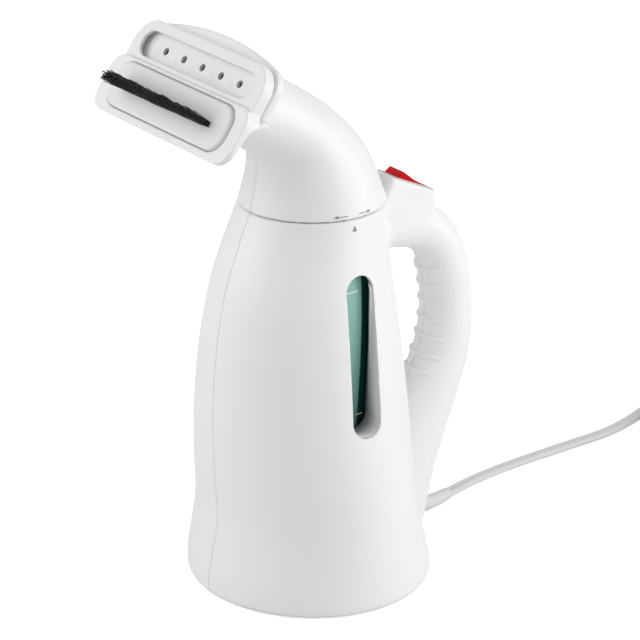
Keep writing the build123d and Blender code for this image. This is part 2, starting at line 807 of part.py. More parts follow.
# Splash baffle in the lock ring and the steam tube that rises from it to the head
baffle_bottom = spout_bottom
baffle_ring_radius = (lock_inner + steam_tube_radius) / 2
with BuildPart() as splash_baffle:
    with BuildSketch(Plane.XY.offset(baffle_bottom)):
        with Locations((0, collar_y)):
            Circle(lock_inner - seat_gap)
            with PolarLocations(baffle_ring_radius, baffle_hole_count):
                Circle(baffle_hole_radius, mode=Mode.SUBTRACT)
    extrude(amount=wall)
splash_baffle.part.label = "splash_baffle"
export_step(splash_baffle.part, "parts/splash_baffle.step")

tube_foot = baffle_bottom + wall + seat_gap
tube_end = face_plane.offset(neck_end_depth_on_face - spout_spigot - seat_gap).from_local_coords(Vector(0, cup_row, 0))
tube_knee_z = tube_end.Z - (collar_y - tube_end.Y) * tan(radians(90 - spout_lean))
tube_points = [(0, collar_y, tube_foot), (0, collar_y, tube_knee_z), (0, tube_end.Y, tube_end.Z)]
with BuildPart() as steam_tube:
    with BuildLine() as tube_line:
        FilletPolyline(*tube_points, radius=steam_tube_bend)
    with BuildSketch(Plane.XY.offset(tube_foot)):
        with Locations((0, collar_y)):
            Circle(steam_tube_radius)
            Circle(steam_tube_radius - steam_tube_wall, mode=Mode.SUBTRACT)
    sweep()
steam_tube.part.label = "steam_tube"
export_step(steam_tube.part, "parts/steam_tube.step")

# Brush frame: a face with the steam window, a skirt over the head, and a deeper brush shelf below
shelf_top = head_bottom - part_gap
shelf_edge = shelf_top - shelf_lip
skirt_inner_half = cup_half_width + part_gap
skirt_inner_height = cup_height + 2 * part_gap
slot_row = (slot_top + slot_bottom) / 2
slot_height = slot_top - slot_bottom
brush_row = (brush_top + brush_bottom) / 2
shelf_side = Plane(origin=face_plane.origin, x_dir=face_plane.y_dir, z_dir=(1, 0, 0))

with BuildPart() as brush_frame:
    with BuildSketch(face_plane):
        with Locations((0, (frame_top + brush_row) / 2)):
            RectangleRounded(2 * frame_half_width, frame_top - brush_row, frame_corner)
    extrude(amount=-frame_skirt)
    with BuildSketch(face_plane.offset(brush_proud)):
        with Locations((0, brush_row)):
            RectangleRounded(2 * brush_half_width, brush_top - brush_bottom, brush_corner)
    extrude(amount=-brush_proud - frame_skirt)
    with BuildSketch(face_plane.offset(-frame_skirt)):
        with Locations((0, (shelf_top + brush_row) / 2)):
            Rectangle(2 * brush_half_width - 2, shelf_top - brush_row)
    extrude(amount=head_back + frame_skirt)
    with BuildSketch(shelf_side) as shelf_cut:
        with BuildLine():
            back_low = Line((brush_bottom - 1, -shelf_edge_thickness), (pad_centre, -shelf_back_depth))
            back_arc = TangentArc(back_low @ 1, (shelf_edge, head_back), tangent=back_low % 1)
            Polyline(back_arc @ 1, (shelf_edge, 2 * head_back), (brush_bottom - 1, 2 * head_back), back_low @ 0)
        make_face()
    extrude(amount=2 * brush_half_width, both=True, mode=Mode.SUBTRACT)
    with BuildSketch(face_plane.offset(-frame_face)):
        with Locations((0, cup_row)):
            RectangleRounded(2 * skirt_inner_half, skirt_inner_height, cup_corner + part_gap)
    extrude(amount=2 * head_back, mode=Mode.SUBTRACT)
    with BuildSketch(face_plane):
        with Locations((0, slot_row)):
            SlotOverall(2 * slot_half_length, slot_height)
    extrude(amount=-2 * frame_face, mode=Mode.SUBTRACT)
    with BuildSketch(face_plane.offset(brush_proud)):
        with Locations((0, pad_centre)):
            RectangleRounded(2 * (pad_half_length + pad_margin), 2 * (pad_half_height + pad_margin), pad_corner)
    extrude(amount=-pad_recess, mode=Mode.SUBTRACT)
brush_frame.part.label = "brush_frame"
export_step(brush_frame.part, "parts/brush_frame.step")

# Brush pad: a soft-edged insert in the recess, slotted for the bristle strip
pad_floor = brush_proud - pad_recess
with BuildPart() as brush_pad:
    with BuildSketch(face_plane.offset(pad_floor)):
        with Locations((0, pad_centre)):
            RectangleRounded(2 * pad_half_length, 2 * pad_half_height, pad_corner)
    extrude(amount=pad_recess + pad_proud)
    fillet(brush_pad.faces().sort_by(Axis((0, 0, 0), face_plane.z_dir))[-1].edges(), pad_proud)
    with BuildSketch(face_plane.offset(pad_floor)):
        with Locations((0, bristle_row)):
            Rectangle(2 * (bristle_half_length + seat_gap) + 1, brush_strip_width + 2 * seat_gap)
    extrude(amount=2 * pad_recess + pad_proud, mode=Mode.SUBTRACT)
brush_pad.part.label = "brush_pad"
export_step(brush_pad.part, "parts/brush_pad.step")

# Bristle strip: rows of square nylon strands that fan out a little and end unevenly
strand_pitch = 2 * bristle_half_length / bristle_columns
strand_root = pad_floor + brush_strip_height / 2
strands = []
for row in range(bristle_rows):
    side = row - (bristle_rows - 1) / 2
    for column in range(bristle_columns):
        across = -bristle_half_length + (column + 0.5) * strand_pitch
        reach = bristle_length + bristle_rag * sin(2.3 * column + 1.7 * row)
        lean_out = -side * bristle_fan
        sway = bristle_fan / 3 * sin(across / 5)
        root = face_plane * Pos(across, bristle_row + side * bristle_row_pitch, strand_root)
        strands.append(root * Rot(lean_out, sway, 0) * Pos(0, 0, reach / 2) * Box(bristle_width, bristle_width, reach))

with BuildPart() as brush_bristles:
    with BuildSketch(face_plane.offset(pad_floor)):
        with Locations((0, bristle_row)):
            Rectangle(2 * bristle_half_length + 1, brush_strip_width)
    extrude(amount=brush_strip_height)
    add(strands)
brush_bristles.part.label = "brush_bristles"
export_step(brush_bristles.part, "parts/brush_bristles.step")

# Rocker switch: housing with bezel, three terminals and the rocker on its two pivot pins
pivot_plane = switch_plane.offset(-rocker_pivot_depth)
side_plane = Plane(origin=pivot_plane.origin, x_dir=pivot_plane.y_dir, z_dir=(1, 0, 0))

with BuildPart() as switch_housing:
    with BuildSketch(switch_plane):
        RectangleRounded(bezel_width, bezel_length, bezel_corner)
    extrude(amount=bezel_height)
    with BuildSketch(switch_plane):
        Rectangle(housing_width, housing_length)
    extrude(amount=-switch_depth)
    with BuildSketch(switch_plane.offset(bezel_height)):
        Rectangle(rocker_width + 2 * part_gap, 2 * (rocker_radius + part_gap))
    extrude(amount=-(switch_depth + bezel_height - switch_wall), mode=Mode.SUBTRACT)
    with BuildSketch(side_plane):
        Circle(rocker_pin_radius + pin_clearance)
    extrude(amount=rocker_width / 2 + part_gap + rocker_pin_length, both=True, mode=Mode.SUBTRACT)
switch_housing.part.label = "switch_housing"
export_step(switch_housing.part, "parts/switch_housing.step")

with BuildPart() as switch_terminals:
    with BuildSketch(switch_plane.offset(-switch_depth)):
        with GridLocations(1, terminal_pitch, 1, terminal_count):
            Rectangle(terminal_width, terminal_thickness)
    extrude(amount=-terminal_length)
switch_terminals.part.label = "switch_terminals"
export_step(switch_terminals.part, "parts/switch_terminals.step")

rocker_tilt = radians(rocker_throw / 2)
rocker_along = side_plane.x_dir * cos(rocker_tilt) - side_plane.y_dir * sin(rocker_tilt)
rocker_plane = Plane(origin=pivot_plane.origin, x_dir=rocker_along, z_dir=(1, 0, 0))
end_x = rocker_radius * cos(radians(rocker_end_angle))
end_y = rocker_radius * sin(radians(rocker_end_angle))
with BuildPart() as rocker:
    with BuildSketch(rocker_plane):
        with BuildLine():
            Polyline((-end_x, end_y), (0, rocker_valley), (end_x, end_y))
            ThreePointArc((end_x, end_y), (0, -rocker_radius), (-end_x, end_y))
        make_face()
        with Locations((0, -rocker_radius)):
            Rectangle(2 * rocker_radius, rocker_radius, mode=Mode.SUBTRACT)
    extrude(amount=rocker_width / 2, both=True)
    with BuildSketch(side_plane):
        Circle(rocker_pin_radius)
    extrude(amount=rocker_width / 2 + rocker_pin_length, both=True)
rocker.part.label = "rocker"
export_step(rocker.part, "parts/rocker.step")

# Mains lead from inside the tail, through the grommet, down to the table and away to its coil
cord_floor = cord_diameter / 2
coil_floor = tie_thickness + seat_gap + cord_diameter / 2
coil_start = (coil_x - coil_outer, coil_y, coil_floor)
cord_route = [
    (0, cord_start_y, cord_exit_z),
    (0, 72, cord_exit_z),
    (-7.4, 90.6, 13.5),
    (-17.2, 110.7, 10.3),
    (-27.3, 135.0, 6.3),
    (-34.5, 160.7, 3.3),
    (-39.1, 189.4, cord_floor),
    (-40.6, 219.4, cord_floor),
    (coil_x - coil_outer, 262, coil_floor),
    coil_start,
]
with BuildPart() as cord_free:
    with BuildLine() as cord_line:
        cord_curve, cord_radii = cord_path(cord_route)
    with BuildSketch(Plane(origin=cord_route[0], x_dir=(1, 0, 0), z_dir=(0, 1, 0))):
        Circle(cord_diameter / 2)
    sweep()
cord_free.part.label = "cord_free"
export_step(cord_free.part, "parts/cord_free.step")
cord_section = pi * cord_diameter**2 / 4
cord_length = cord_line.wires()[0].length
print("cord radii", [round(radius, 1) for radius in cord_radii])
print("cord length", round(cord_length, 1), "volume", round(cord_free.part.volume, 1))
print("section x length", round(cord_section * cord_length, 1))

# Strain relief in the tail of the handle, tapering along the lead
lead_wire = cord_line.wires()[0]
with BuildPart() as cord_grommet:
    for step in range(grommet_steps + 1):
        share = step / grommet_steps
        along = (grommet_y - cord_start_y + share * grommet_length) / cord_length
        with BuildSketch(Plane(origin=lead_wire @ along, x_dir=(1, 0, 0), z_dir=lead_wire % along)):
            Circle(grommet_radius + share * (grommet_tip_radius - grommet_radius))
    loft(ruled=True)
    with BuildSketch(Plane(origin=cord_route[0], x_dir=(1, 0, 0), z_dir=(0, 1, 0))):
        Circle(cord_diameter / 2 + seat_gap)
    sweep(path=lead_wire, mode=Mode.SUBTRACT)
cord_grommet.part.label = "cord_grommet"
export_step(cord_grommet.part, "parts/cord_grommet.step")

# Coil of the spare lead: quarter turns that spiral in, climb a layer, spiral out, and so on
coil_knots = [(180, coil_outer, coil_floor)]
knot_radius = coil_outer
knot_height = coil_floor
heading = -1
for run_number, quarters in enumerate(coil_runs):
    for quarter in range(quarters):
        knot_radius += heading * coil_step
        coil_knots.append((coil_knots[-1][0] - 90, knot_radius, knot_height))
    if run_number < len(coil_runs) - 1:
        halfway = knot_height + coil_layer_pitch / 2
        knot_height += coil_layer_pitch
        coil_knots.append((coil_knots[-1][0] - 90, knot_radius + heading * coil_dip, halfway))
        coil_knots.append((coil_knots[-1][0] - 90, knot_radius, knot_height))
    heading = -heading


def coil_point(angle, radius, height):
    """Point of the coil in the object's frame."""
    return Vector(coil_x + radius * cos(radians(angle)), coil_y + radius * sin(radians(angle)), height)


def coil_tangent(angle):
    """Level direction in which the lead runs at a knot of the coil."""
    return Vector(sin(radians(angle)), -cos(radians(angle)), 0)


def biarc_joint(start, start_tangent, end, end_tangent):
    """Point where two arcs meet that are tangent to each other and to both ends."""
    chord = end - start
    slack = 2 * (1 - start_tangent.dot(end_tangent))
    pull = 2 * chord.dot(start_tangent + end_tangent)
    length = (-pull + (pull * pull + 4 * slack * chord.dot(chord)) ** 0.5) / (2 * slack)
    return (start + start_tangent * length + end - end_tangent * length) * 0.5


with BuildPart() as cord_coil:
    with BuildLine() as coil_line:
        for first, last in zip(coil_knots, coil_knots[1:]):
            quarter_start = coil_point(*first)
            quarter_end = coil_point(*last)
            start_way = coil_tangent(first[0])
            end_way = coil_tangent(last[0])
            joint = biarc_joint(quarter_start, start_way, quarter_end, end_way)
            lead_in = TangentArc(quarter_start, joint, tangent=start_way)
            TangentArc(joint, quarter_end, tangent=lead_in % 1)
    with BuildSketch(Plane(origin=coil_start, x_dir=(1, 0, 0), z_dir=(0, 1, 0))):
        Circle(cord_diameter / 2)
    sweep()
cord_coil.part.label = "cord_coil"
export_step(cord_coil.part, "parts/cord_coil.step")
coil_wire = coil_line.wires()[0]
print("coil length", round(coil_wire.length, 1), "volume", round(cord_coil.part.volume, 1))
print("section x length", round(cord_section * coil_wire.length, 1))

sample_count = 720
coil_samples = [coil_wire @ (step / sample_count) for step in range(sample_count + 1)]
apart = int(4 * cord_diameter * sample_count / coil_wire.length)
least_pitch = min(
    (coil_samples[i] - coil_samples[j]).length
    for i in range(len(coil_samples))
    for j in range(i + apart, len(coil_samples))
)
print("least gap of the coil to itself", round(least_pitch - cord_diameter, 2))

# Last of the lead, from the top of the coil down to the plug beside it
coil_end = coil_point(*coil_knots[-1])
plug_z = plug_height / 2
tail_route = [
    (coil_end.X, coil_end.Y, coil_end.Z),
    (coil_end.X + 12, coil_end.Y, coil_end.Z),
    (coil_end.X + 30, coil_end.Y - 1.5, coil_end.Z - 3),
    (coil_end.X + 47, coil_end.Y - 8, plug_z + 2),
    (coil_end.X + 57, coil_end.Y - 22, plug_z),
    (coil_end.X + 57, coil_end.Y - 36, plug_z),
]
with BuildPart() as cord_tail:
    with BuildLine() as tail_line:
        tail_curve, tail_radii = cord_path(tail_route)
    with BuildSketch(Plane(origin=tail_route[0], x_dir=(0, 1, 0), z_dir=(1, 0, 0))):
        Circle(cord_diameter / 2)
    sweep()
cord_tail.part.label = "cord_tail"
export_step(cord_tail.part, "parts/cord_tail.step")
print("tail radii", [round(radius, 1) for radius in tail_radii], "length", round(tail_line.wires()[0].length, 1))

# Tie round the bundle of turns
tie_radii = [radius for angle, radius, height in coil_knots if angle % 360 == 0]
tie_slack = 2 * part_gap
tie_left = coil_x + min(tie_radii) - cord_diameter / 2 - tie_slack
tie_right = coil_x + max(tie_radii) + cord_diameter / 2 + tie_slack
tie_top = coil_knots[-1][2] + cord_diameter / 2 + tie_slack
with BuildPart() as cord_tie:
    with BuildSketch(Plane(origin=(0, coil_y, 0), x_dir=(1, 0, 0), z_dir=(0, -1, 0))):
        with Locations(((tie_left + tie_right) / 2, (tie_top + tie_thickness) / 2)):
            RectangleRounded(tie_right - tie_left + 2 * tie_thickness, tie_top + tie_thickness, 2 * tie_thickness)
            RectangleRounded(tie_right - tie_left, tie_top - tie_thickness, tie_thickness, mode=Mode.SUBTRACT)
    extrude(amount=tie_width / 2, both=True)
cord_tie.part.label = "cord_tie"
export_step(cord_tie.part, "parts/cord_tie.step")

# Flat moulded plug with two blades
plug_plane = Plane(origin=tail_route[-1], x_dir=(1, 0, 0), z_dir=(0, -1, 0))
with BuildPart() as plug_body:
    with BuildSketch(plug_plane):
        RectangleRounded(plug_neck_width, plug_neck_height, plug_corner)
    with BuildSketch(plug_plane.offset(plug_length - plug_grip_length)) as plug_grip:
        RectangleRounded(plug_width, plug_height, plug_corner)
    loft()
    extrude(plug_grip.sketch, amount=plug_grip_length)
plug_body.part.label = "plug_body"
export_step(plug_body.part, "parts/plug_body.step")

with BuildPart() as plug_blades:
    with BuildSketch(plug_plane.offset(plug_length)):
        with GridLocations(blade_gap, 1, 2, 1):
            Rectangle(blade_thickness, blade_width)
    extrude(amount=blade_length)
    chamfer(plug_blades.faces().sort_by(Axis.Y)[0:2].edges(), blade_thickness / 4)
plug_blades.part.label = "plug_blades"
export_step(plug_blades.part, "parts/plug_blades.step")

# Leads inside: up the handle to the switch, and from the switch back down to the element
rear_terminal = switch_plane.from_local_coords(Vector(0, terminal_pitch, -switch_depth - terminal_length))
handle_run = [(section[0], section[1]) for section in handle_sections[2:9]]
tank_back = tank_y + tank_flange_radius + lead_diameter / 2 + 2 * part_gap
feed_route = [(lead_spread, rear_terminal.Y + 1, rear_terminal.Z - lead_diameter)]
feed_route += [(lead_spread, y, z) for y, z in handle_run]
feed_route += [(lead_spread, y, z) for y, z in lead_drop]
feed_route += [(lead_spread, tank_back, tank_floor), (lead_spread, tank_back, cord_exit_z)]
with BuildPart() as lead_feed:
    with BuildLine() as feed_line:
        feed_curve, feed_radii = cord_path(feed_route)
    with BuildSketch(Plane(origin=feed_line.wires()[0] @ 0, z_dir=feed_line.wires()[0] % 0)):
        Circle(lead_diameter / 2)
    sweep()
lead_feed.part.label = "lead_feed"
export_step(lead_feed.part, "parts/lead_feed.step")

element_end = element_line.line @ 0
return_route = [(-x, y, z) for x, y, z in feed_route[:-1]]
return_route += heater_lead_bends
return_route += [(element_end.X, element_end.Y + lead_diameter + 1, heater_lead_z)]
with BuildPart() as lead_return:
    with BuildLine() as return_line:
        return_curve, return_radii = cord_path(return_route)
    with BuildSketch(Plane(origin=return_line.wires()[0] @ 0, z_dir=return_line.wires()[0] % 0)):
        Circle(lead_diameter / 2)
    sweep()
lead_return.part.label = "lead_return"
export_step(lead_return.part, "parts/lead_return.step")
print("lead radii", [round(radius, 1) for radius in feed_radii + return_radii])
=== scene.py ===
"""Looks of a handheld garment steamer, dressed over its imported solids. Metres, same frame as the solids."""
import math

import bmesh
import bpy
import numpy as np
from mathutils import Matrix, Vector
from mathutils.bvhtree import BVHTree


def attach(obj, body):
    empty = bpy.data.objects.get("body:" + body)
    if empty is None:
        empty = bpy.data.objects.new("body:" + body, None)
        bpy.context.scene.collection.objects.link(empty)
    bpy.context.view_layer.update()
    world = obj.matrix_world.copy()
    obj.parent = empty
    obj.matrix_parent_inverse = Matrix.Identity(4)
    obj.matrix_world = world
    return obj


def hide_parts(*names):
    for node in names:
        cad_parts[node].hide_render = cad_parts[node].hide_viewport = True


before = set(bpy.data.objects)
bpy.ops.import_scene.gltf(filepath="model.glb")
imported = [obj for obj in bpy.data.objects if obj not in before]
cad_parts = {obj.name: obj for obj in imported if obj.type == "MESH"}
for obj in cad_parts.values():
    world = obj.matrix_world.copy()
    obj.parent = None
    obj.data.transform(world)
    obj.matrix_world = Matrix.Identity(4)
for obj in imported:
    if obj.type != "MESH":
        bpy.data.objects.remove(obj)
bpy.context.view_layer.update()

# Studio: a pale paper sweep that runs out of sight, a white surround and two soft lamps.
# The camera stands where the photograph was taken from, with a long lens.
mm = 0.001
scene = bpy.context.scene
scene.view_settings.view_transform = "Standard"


def linear(code):
    """sRGB hex colour as linear red, green, blue and alpha."""
    parts = [int(code[start:start + 2], 16) / 255 for start in (1, 3, 5)]
    return tuple(p / 12.92 if p <= 0.04045 else ((p + 0.055) / 1.055) ** 2.4 for p in parts) + (1.0,)


def add_node(tree, kind, settings=None, inputs=None):
    """Adds a node, with its settings, and its inputs as values or as links from other sockets."""
    node = tree.nodes.new(kind)
    for key, value in (settings or {}).items():
        setattr(node, key, value)
    for key, value in (inputs or {}).items():
        if isinstance(value, bpy.types.NodeSocket):
            tree.links.new(value, node.inputs[key])
        else:
            node.inputs[key].default_value = value
    return node


def new_material(name):
    """Empty node material with its output node."""
    material = bpy.data.materials.new(name)
    material.use_nodes = True
    material.node_tree.nodes.clear()
    return material, material.node_tree, add_node(material.node_tree, "ShaderNodeOutputMaterial")


camera_spot = Vector((1.11963, -0.76353, 0.65183))
camera_aim = Vector((0.002787, 0.004056, 0.12346))
camera_data = bpy.data.cameras.new("photo_camera")
camera_data.lens = 180
camera_data.sensor_width = 36
camera = bpy.data.objects.new("photo_camera", camera_data)
camera.location = camera_spot
camera.rotation_euler = (camera_aim - camera_spot).to_track_quat("-Z", "Y").to_euler()
scene.collection.objects.link(camera)
scene.camera = camera

white = (1, 1, 1, 1)
ambient_strength = 0.38
world = bpy.data.worlds.new("white_surround")
world.use_nodes = True
world_tree = world.node_tree
world_tree.nodes.clear()
rays = add_node(world_tree, "ShaderNodeLightPath")
seen_direct = add_node(world_tree, "ShaderNodeMath", {"operation": "MAXIMUM"}, {
    0: rays.outputs["Is Camera Ray"], 1: rays.outputs["Is Glossy Ray"]})
seen_at_all = add_node(world_tree, "ShaderNodeMath", {"operation": "MAXIMUM"}, {
    0: seen_direct.outputs[0], 1: rays.outputs["Is Transmission Ray"]})
ambient = add_node(world_tree, "ShaderNodeBackground", None, {"Color": white, "Strength": ambient_strength})
backdrop = add_node(world_tree, "ShaderNodeBackground", None, {"Color": white, "Strength": 1.0})
surround = add_node(world_tree, "ShaderNodeMixShader", None, {
    0: seen_at_all.outputs[0], 1: ambient.outputs[0], 2: backdrop.outputs[0]})
add_node(world_tree, "ShaderNodeOutputWorld", None, {"Surface": surround.outputs[0]})
scene.world = world

lamp_aim = Vector((0, 0, 0.12))
lamp_size = 1.3
lamp_plan = [
    ("right_softbox", (0.92, 0.86, 0.62), 12.8),
    ("left_softbox", (-0.52, -1.14, 0.8), 10.5),
]
for lamp_name, lamp_spot, lamp_power in lamp_plan:
    lamp_data = bpy.data.lights.new(lamp_name, "AREA")
    lamp_data.size = lamp_size
    lamp_data.energy = lamp_power
    lamp = bpy.data.objects.new(lamp_name, lamp_data)
    lamp.location = lamp_spot
    lamp.rotation_euler = (lamp_aim - Vector(lamp_spot)).to_track_quat("-Z", "Y").to_euler()
    scene.collection.objects.link(lamp)

# Floor: white paper, a hair below the object's feet.
# It glows a little to the camera, so that it reads as white and still holds the shadow.
floor_reach = 6.0
floor_level = -0.4 * mm
floor_glow = 0.64
floor_corners = [(-1, -1), (1, -1), (1, 1), (-1, 1)]
floor_verts = [(floor_reach * x, floor_reach * y, floor_level) for x, y in floor_corners]
floor_mesh = bpy.data.meshes.new("studio_floor")
floor_mesh.from_pydata(floor_verts, [], [(0, 1, 2, 3)])
floor = bpy.data.objects.new("studio_floor", floor_mesh)
scene.collection.objects.link(floor)
floor_material, floor_tree, floor_out = new_material("white_paper_sweep")
floor_rays = add_node(floor_tree, "ShaderNodeLightPath")
paper = add_node(floor_tree, "ShaderNodeBsdfDiffuse", None, {"Color": linear("#F2F2F2")})
paper_glow = add_node(floor_tree, "ShaderNodeEmission", None, {"Color": white, "Strength": floor_glow})
paper_lit = add_node(floor_tree, "ShaderNodeAddShader", None, {0: paper.outputs[0], 1: paper_glow.outputs[0]})
paper_seen = add_node(floor_tree, "ShaderNodeMixShader", None, {
    0: floor_rays.outputs["Is Camera Ray"], 1: paper.outputs[0], 2: paper_lit.outputs[0]})
floor_tree.links.new(paper_seen.outputs[0], floor_out.inputs["Surface"])
floor_mesh.materials.append(floor_material)

# Mains cord: flat twin flex in light grey PVC, extruded with a groove between its two cores.
# It leaves the tail of the handle, sinks to the table and runs back to a tied coil and its plug.
cord_width = 6.2 * mm
cord_core = 1.65 * mm  # radius of the sheath round each core
cord_run = [
    (0, 46, 14.7), (0, 72, 14.7), (-7.4, 90.6, 13.5), (-17.2, 110.7, 10.3), (-27.3, 135, 6.3),
    (-34.5, 160.7, 3.3), (-39.1, 189.4, 1.8), (-40.6, 219.4, 1.8), (-57, 262, 2.75),
]
coil_centre = (-14.0, 290.0)
coil_outer = 43.0
coil_bottom = 2.75
coil_step = 2.1  # change of radius in each quarter turn
coil_dip = 1.4
coil_layer = 4.2
coil_runs = [6, 6, 5, 6]  # quarter turns in each layer
coil_spread = 1 / 0.966  # a smooth curve cuts inside its points by this share
cord_tail = [(12, 45.1, 15.35), (30, 43.6, 12.35), (47, 37.1, 8.5), (57, 23.1, 6.5), (57, 9.1, 6.5)]

coil_knots = [(180.0, coil_outer, coil_bottom)]
coil_heading = -1
for run_number, quarters in enumerate(coil_runs):
    for _ in range(quarters):
        angle, radius, height = coil_knots[-1]
        coil_knots.append((angle - 90, radius + coil_heading * coil_step, height))
    if run_number < len(coil_runs) - 1:
        angle, radius, height = coil_knots[-1]
        coil_knots.append((angle - 90, radius + coil_heading * coil_dip, height + coil_layer / 2))
        coil_knots.append((angle - 180, radius, height + coil_layer))
    coil_heading = -coil_heading

cord_points = list(cord_run)
for first, last in zip(coil_knots, coil_knots[1:]):
    for share in (1 / 6, 1 / 2, 5 / 6):
        angle, radius, height = (a + (b - a) * share for a, b in zip(first, last))
        cord_points.append((
            coil_centre[0] + coil_spread * radius * math.cos(math.radians(angle)),
            coil_centre[1] + coil_spread * radius * math.sin(math.radians(angle)),
            height,
        ))
cord_points += [(coil_centre[0] + x, coil_centre[1] + y, z) for x, y, z in cord_tail]

route = bpy.data.curves.new("cord_route", "CURVE")
route.dimensions = "3D"
route.resolution_u = 6
spline = route.splines.new("NURBS")
spline.points.add(len(cord_points) - 1)
for point, spot in zip(spline.points, cord_points):
    point.co = (spot[0] * mm, spot[1] * mm, spot[2] * mm, 1)
spline.order_u = 3
spline.use_endpoint_u = True
route_object = bpy.data.objects.new("cord_route", route)
scene.collection.objects.link(route_object)
route_seen = route_object.evaluated_get(bpy.context.evaluated_depsgraph_get())
route_mesh = bpy.data.meshes.new_from_object(route_seen)
cord_line = np.array([vertex.co for vertex in route_mesh.vertices])
bpy.data.objects.remove(route_object)

core_angles = np.radians(np.arange(-140, 141, 28))
core_reach = cord_width / 2 - cord_core
right_core = [(core_reach + cord_core * math.cos(a), cord_core * math.sin(a)) for a in core_angles]
cord_profile = np.array(right_core + [(-x, -y) for x, y in right_core])
tangents = np.gradient(cord_line, axis=0)
tangents /= np.linalg.norm(tangents, axis=1)[:, None]
sides = np.cross(tangents, (0, 0, 1))
sides /= np.linalg.norm(sides, axis=1)[:, None]
tops = np.cross(sides, tangents)
cord_rings = [
    (spot + cord_profile[:, :1] * side + cord_profile[:, 1:] * top) / mm
    for spot, side, top in zip(cord_line, sides, tops)
]


def skin_rings(rings):
    """Vertices in metres and faces of a closed tube through rings in millimetres, with flat ends."""
    count = len(rings[0])
    verts = np.concatenate(rings) * mm
    faces = []
    for ring in range(len(rings) - 1):
        for k in range(count):
            a = ring * count + k
            b = ring * count + (k + 1) % count
            faces.append((a, b, b + count, a + count))
    faces.append(tuple(range(count))[::-1])
    faces.append(tuple(range((len(rings) - 1) * count, len(rings) * count)))
    return verts, faces


def new_piece(name, verts, faces, smooth=True):
    """Mesh object at the origin, with outward faces."""
    mesh = bpy.data.meshes.new(name)
    mesh.from_pydata([tuple(v) for v in verts], [], faces)
    work = bmesh.new()
    work.from_mesh(mesh)
    bmesh.ops.recalc_face_normals(work, faces=work.faces)
    work.to_mesh(mesh)
    work.free()
    piece = bpy.data.objects.new(name, mesh)
    scene.collection.objects.link(piece)
    for polygon in mesh.polygons:
        polygon.use_smooth = smooth
    return piece


def moulded(name, tint, shade, grain, rough, relief, **sockets):
    """Moulded finish: faint clouds of colour 50 mm across, a fine tool texture and uneven gloss."""
    material, tree, out = new_material(name)
    cloud_size = 50 * mm
    spot = add_node(tree, "ShaderNodeTexCoord")
    cloud = add_node(tree, "ShaderNodeTexNoise", None, {
        "Vector": spot.outputs["Object"], "Scale": 1 / cloud_size, "Detail": 2.0})
    tone = add_node(tree, "ShaderNodeMix", {"data_type": "RGBA"}, {
        0: cloud.outputs["Fac"], 6: linear(tint), 7: linear(shade)})
    skin = add_node(tree, "ShaderNodeTexNoise", None, {
        "Vector": spot.outputs["Object"], "Scale": 1 / grain, "Detail": 2.0})
    gloss = add_node(tree, "ShaderNodeMapRange", None, {0: cloud.outputs["Fac"], 3: rough[0], 4: rough[1]})
    bump = add_node(tree, "ShaderNodeBump", None, {
        "Height": skin.outputs["Fac"], "Strength": relief, "Distance": grain / 4})
    surface = add_node(tree, "ShaderNodeBsdfPrincipled", None, {
        "Base Color": tone.outputs[2], "Roughness": gloss.outputs[0], "Normal": bump.outputs[0], **sockets})
    tree.links.new(surface.outputs[0], out.inputs["Surface"])
    return material


def dress(piece, material, body, slot, *nodes):
    """Gives a piece its material, its body and the solids that it stands for; its finish slot is not used."""
    piece.data.materials.clear()
    piece.data.materials.append(material)
    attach(piece, body)
    if nodes:
        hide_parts(*nodes)
    return piece


# Extruded PVC: a soft, even sheen with hardly any texture.
cord_pvc = moulded(
    "grey_pvc_flex", "#D9DADC", "#D2D3D6", grain=1.2 * mm, rough=(0.38, 0.5), relief=0.05)
mains_cord = new_piece("mains_cord", *skin_rings(cord_rings))
dress(mains_cord, cord_pvc, "base", "cord_pvc", "cord_free", "cord_coil", "cord_tail")

# Body: two halves moulded in white satin ABS, with the loop handle in one piece with each half.
# The halves meet on the middle plane in a fine seam; the handle runs into the body in soft hollows.
# Rows of the body: height, half width, half depth, centre. Of the handle: y, z, lean, half depth, half width.
body_sections = [
    (0, 58.4, 55.7, -0.2), (10.7, 59.0, 54.8, -1.0), (36.7, 57.0, 48.9, -2.0), (58.7, 55.4, 48.1, -3.8),
    (86.7, 51.6, 47.7, -4.8), (116.7, 46.7, 45.5, -5.0), (143.7, 41.6, 41.5, -4.3), (162.7, 37.5, 37.4, -2.1),
    (181.2, 33.7, 33.7, 1.6),
]
handle_sections = [
    (28, 160.2, 0, 10.2, 10.0), (46, 160.9, 0, 11.2, 11.0), (60.6, 157.2, 25, 11.4, 11.3),
    (70.3, 148.0, 50, 11.6, 11.5), (75.3, 133.1, 79, 12.1, 12.0), (77.3, 115.2, 92, 12.4, 12.3),
    (75.4, 96.7, 100, 13.3, 12.8), (70, 80.7, 108, 14.5, 12.8), (61.5, 59.7, 110, 15.5, 12.2),
    (54.5, 36.7, 104, 15.5, 10.5), (51.5, 8.7, 97, 13.2, 7.5),
]


def between(rows, place):
    """Section part of the way along a list of sections, on a smooth curve through them all."""
    index = min(int(place), len(rows) - 2)
    t = place - index
    a, b, c, d = (np.array(rows[min(max(index + step, 0), len(rows) - 1)], float) for step in (-1, 0, 1, 2))
    return b + 0.5 * ((c - a) * t + (2 * a - 5 * b + 4 * c - d) * t**2 + (3 * b - a - 3 * c + d) * t**3)


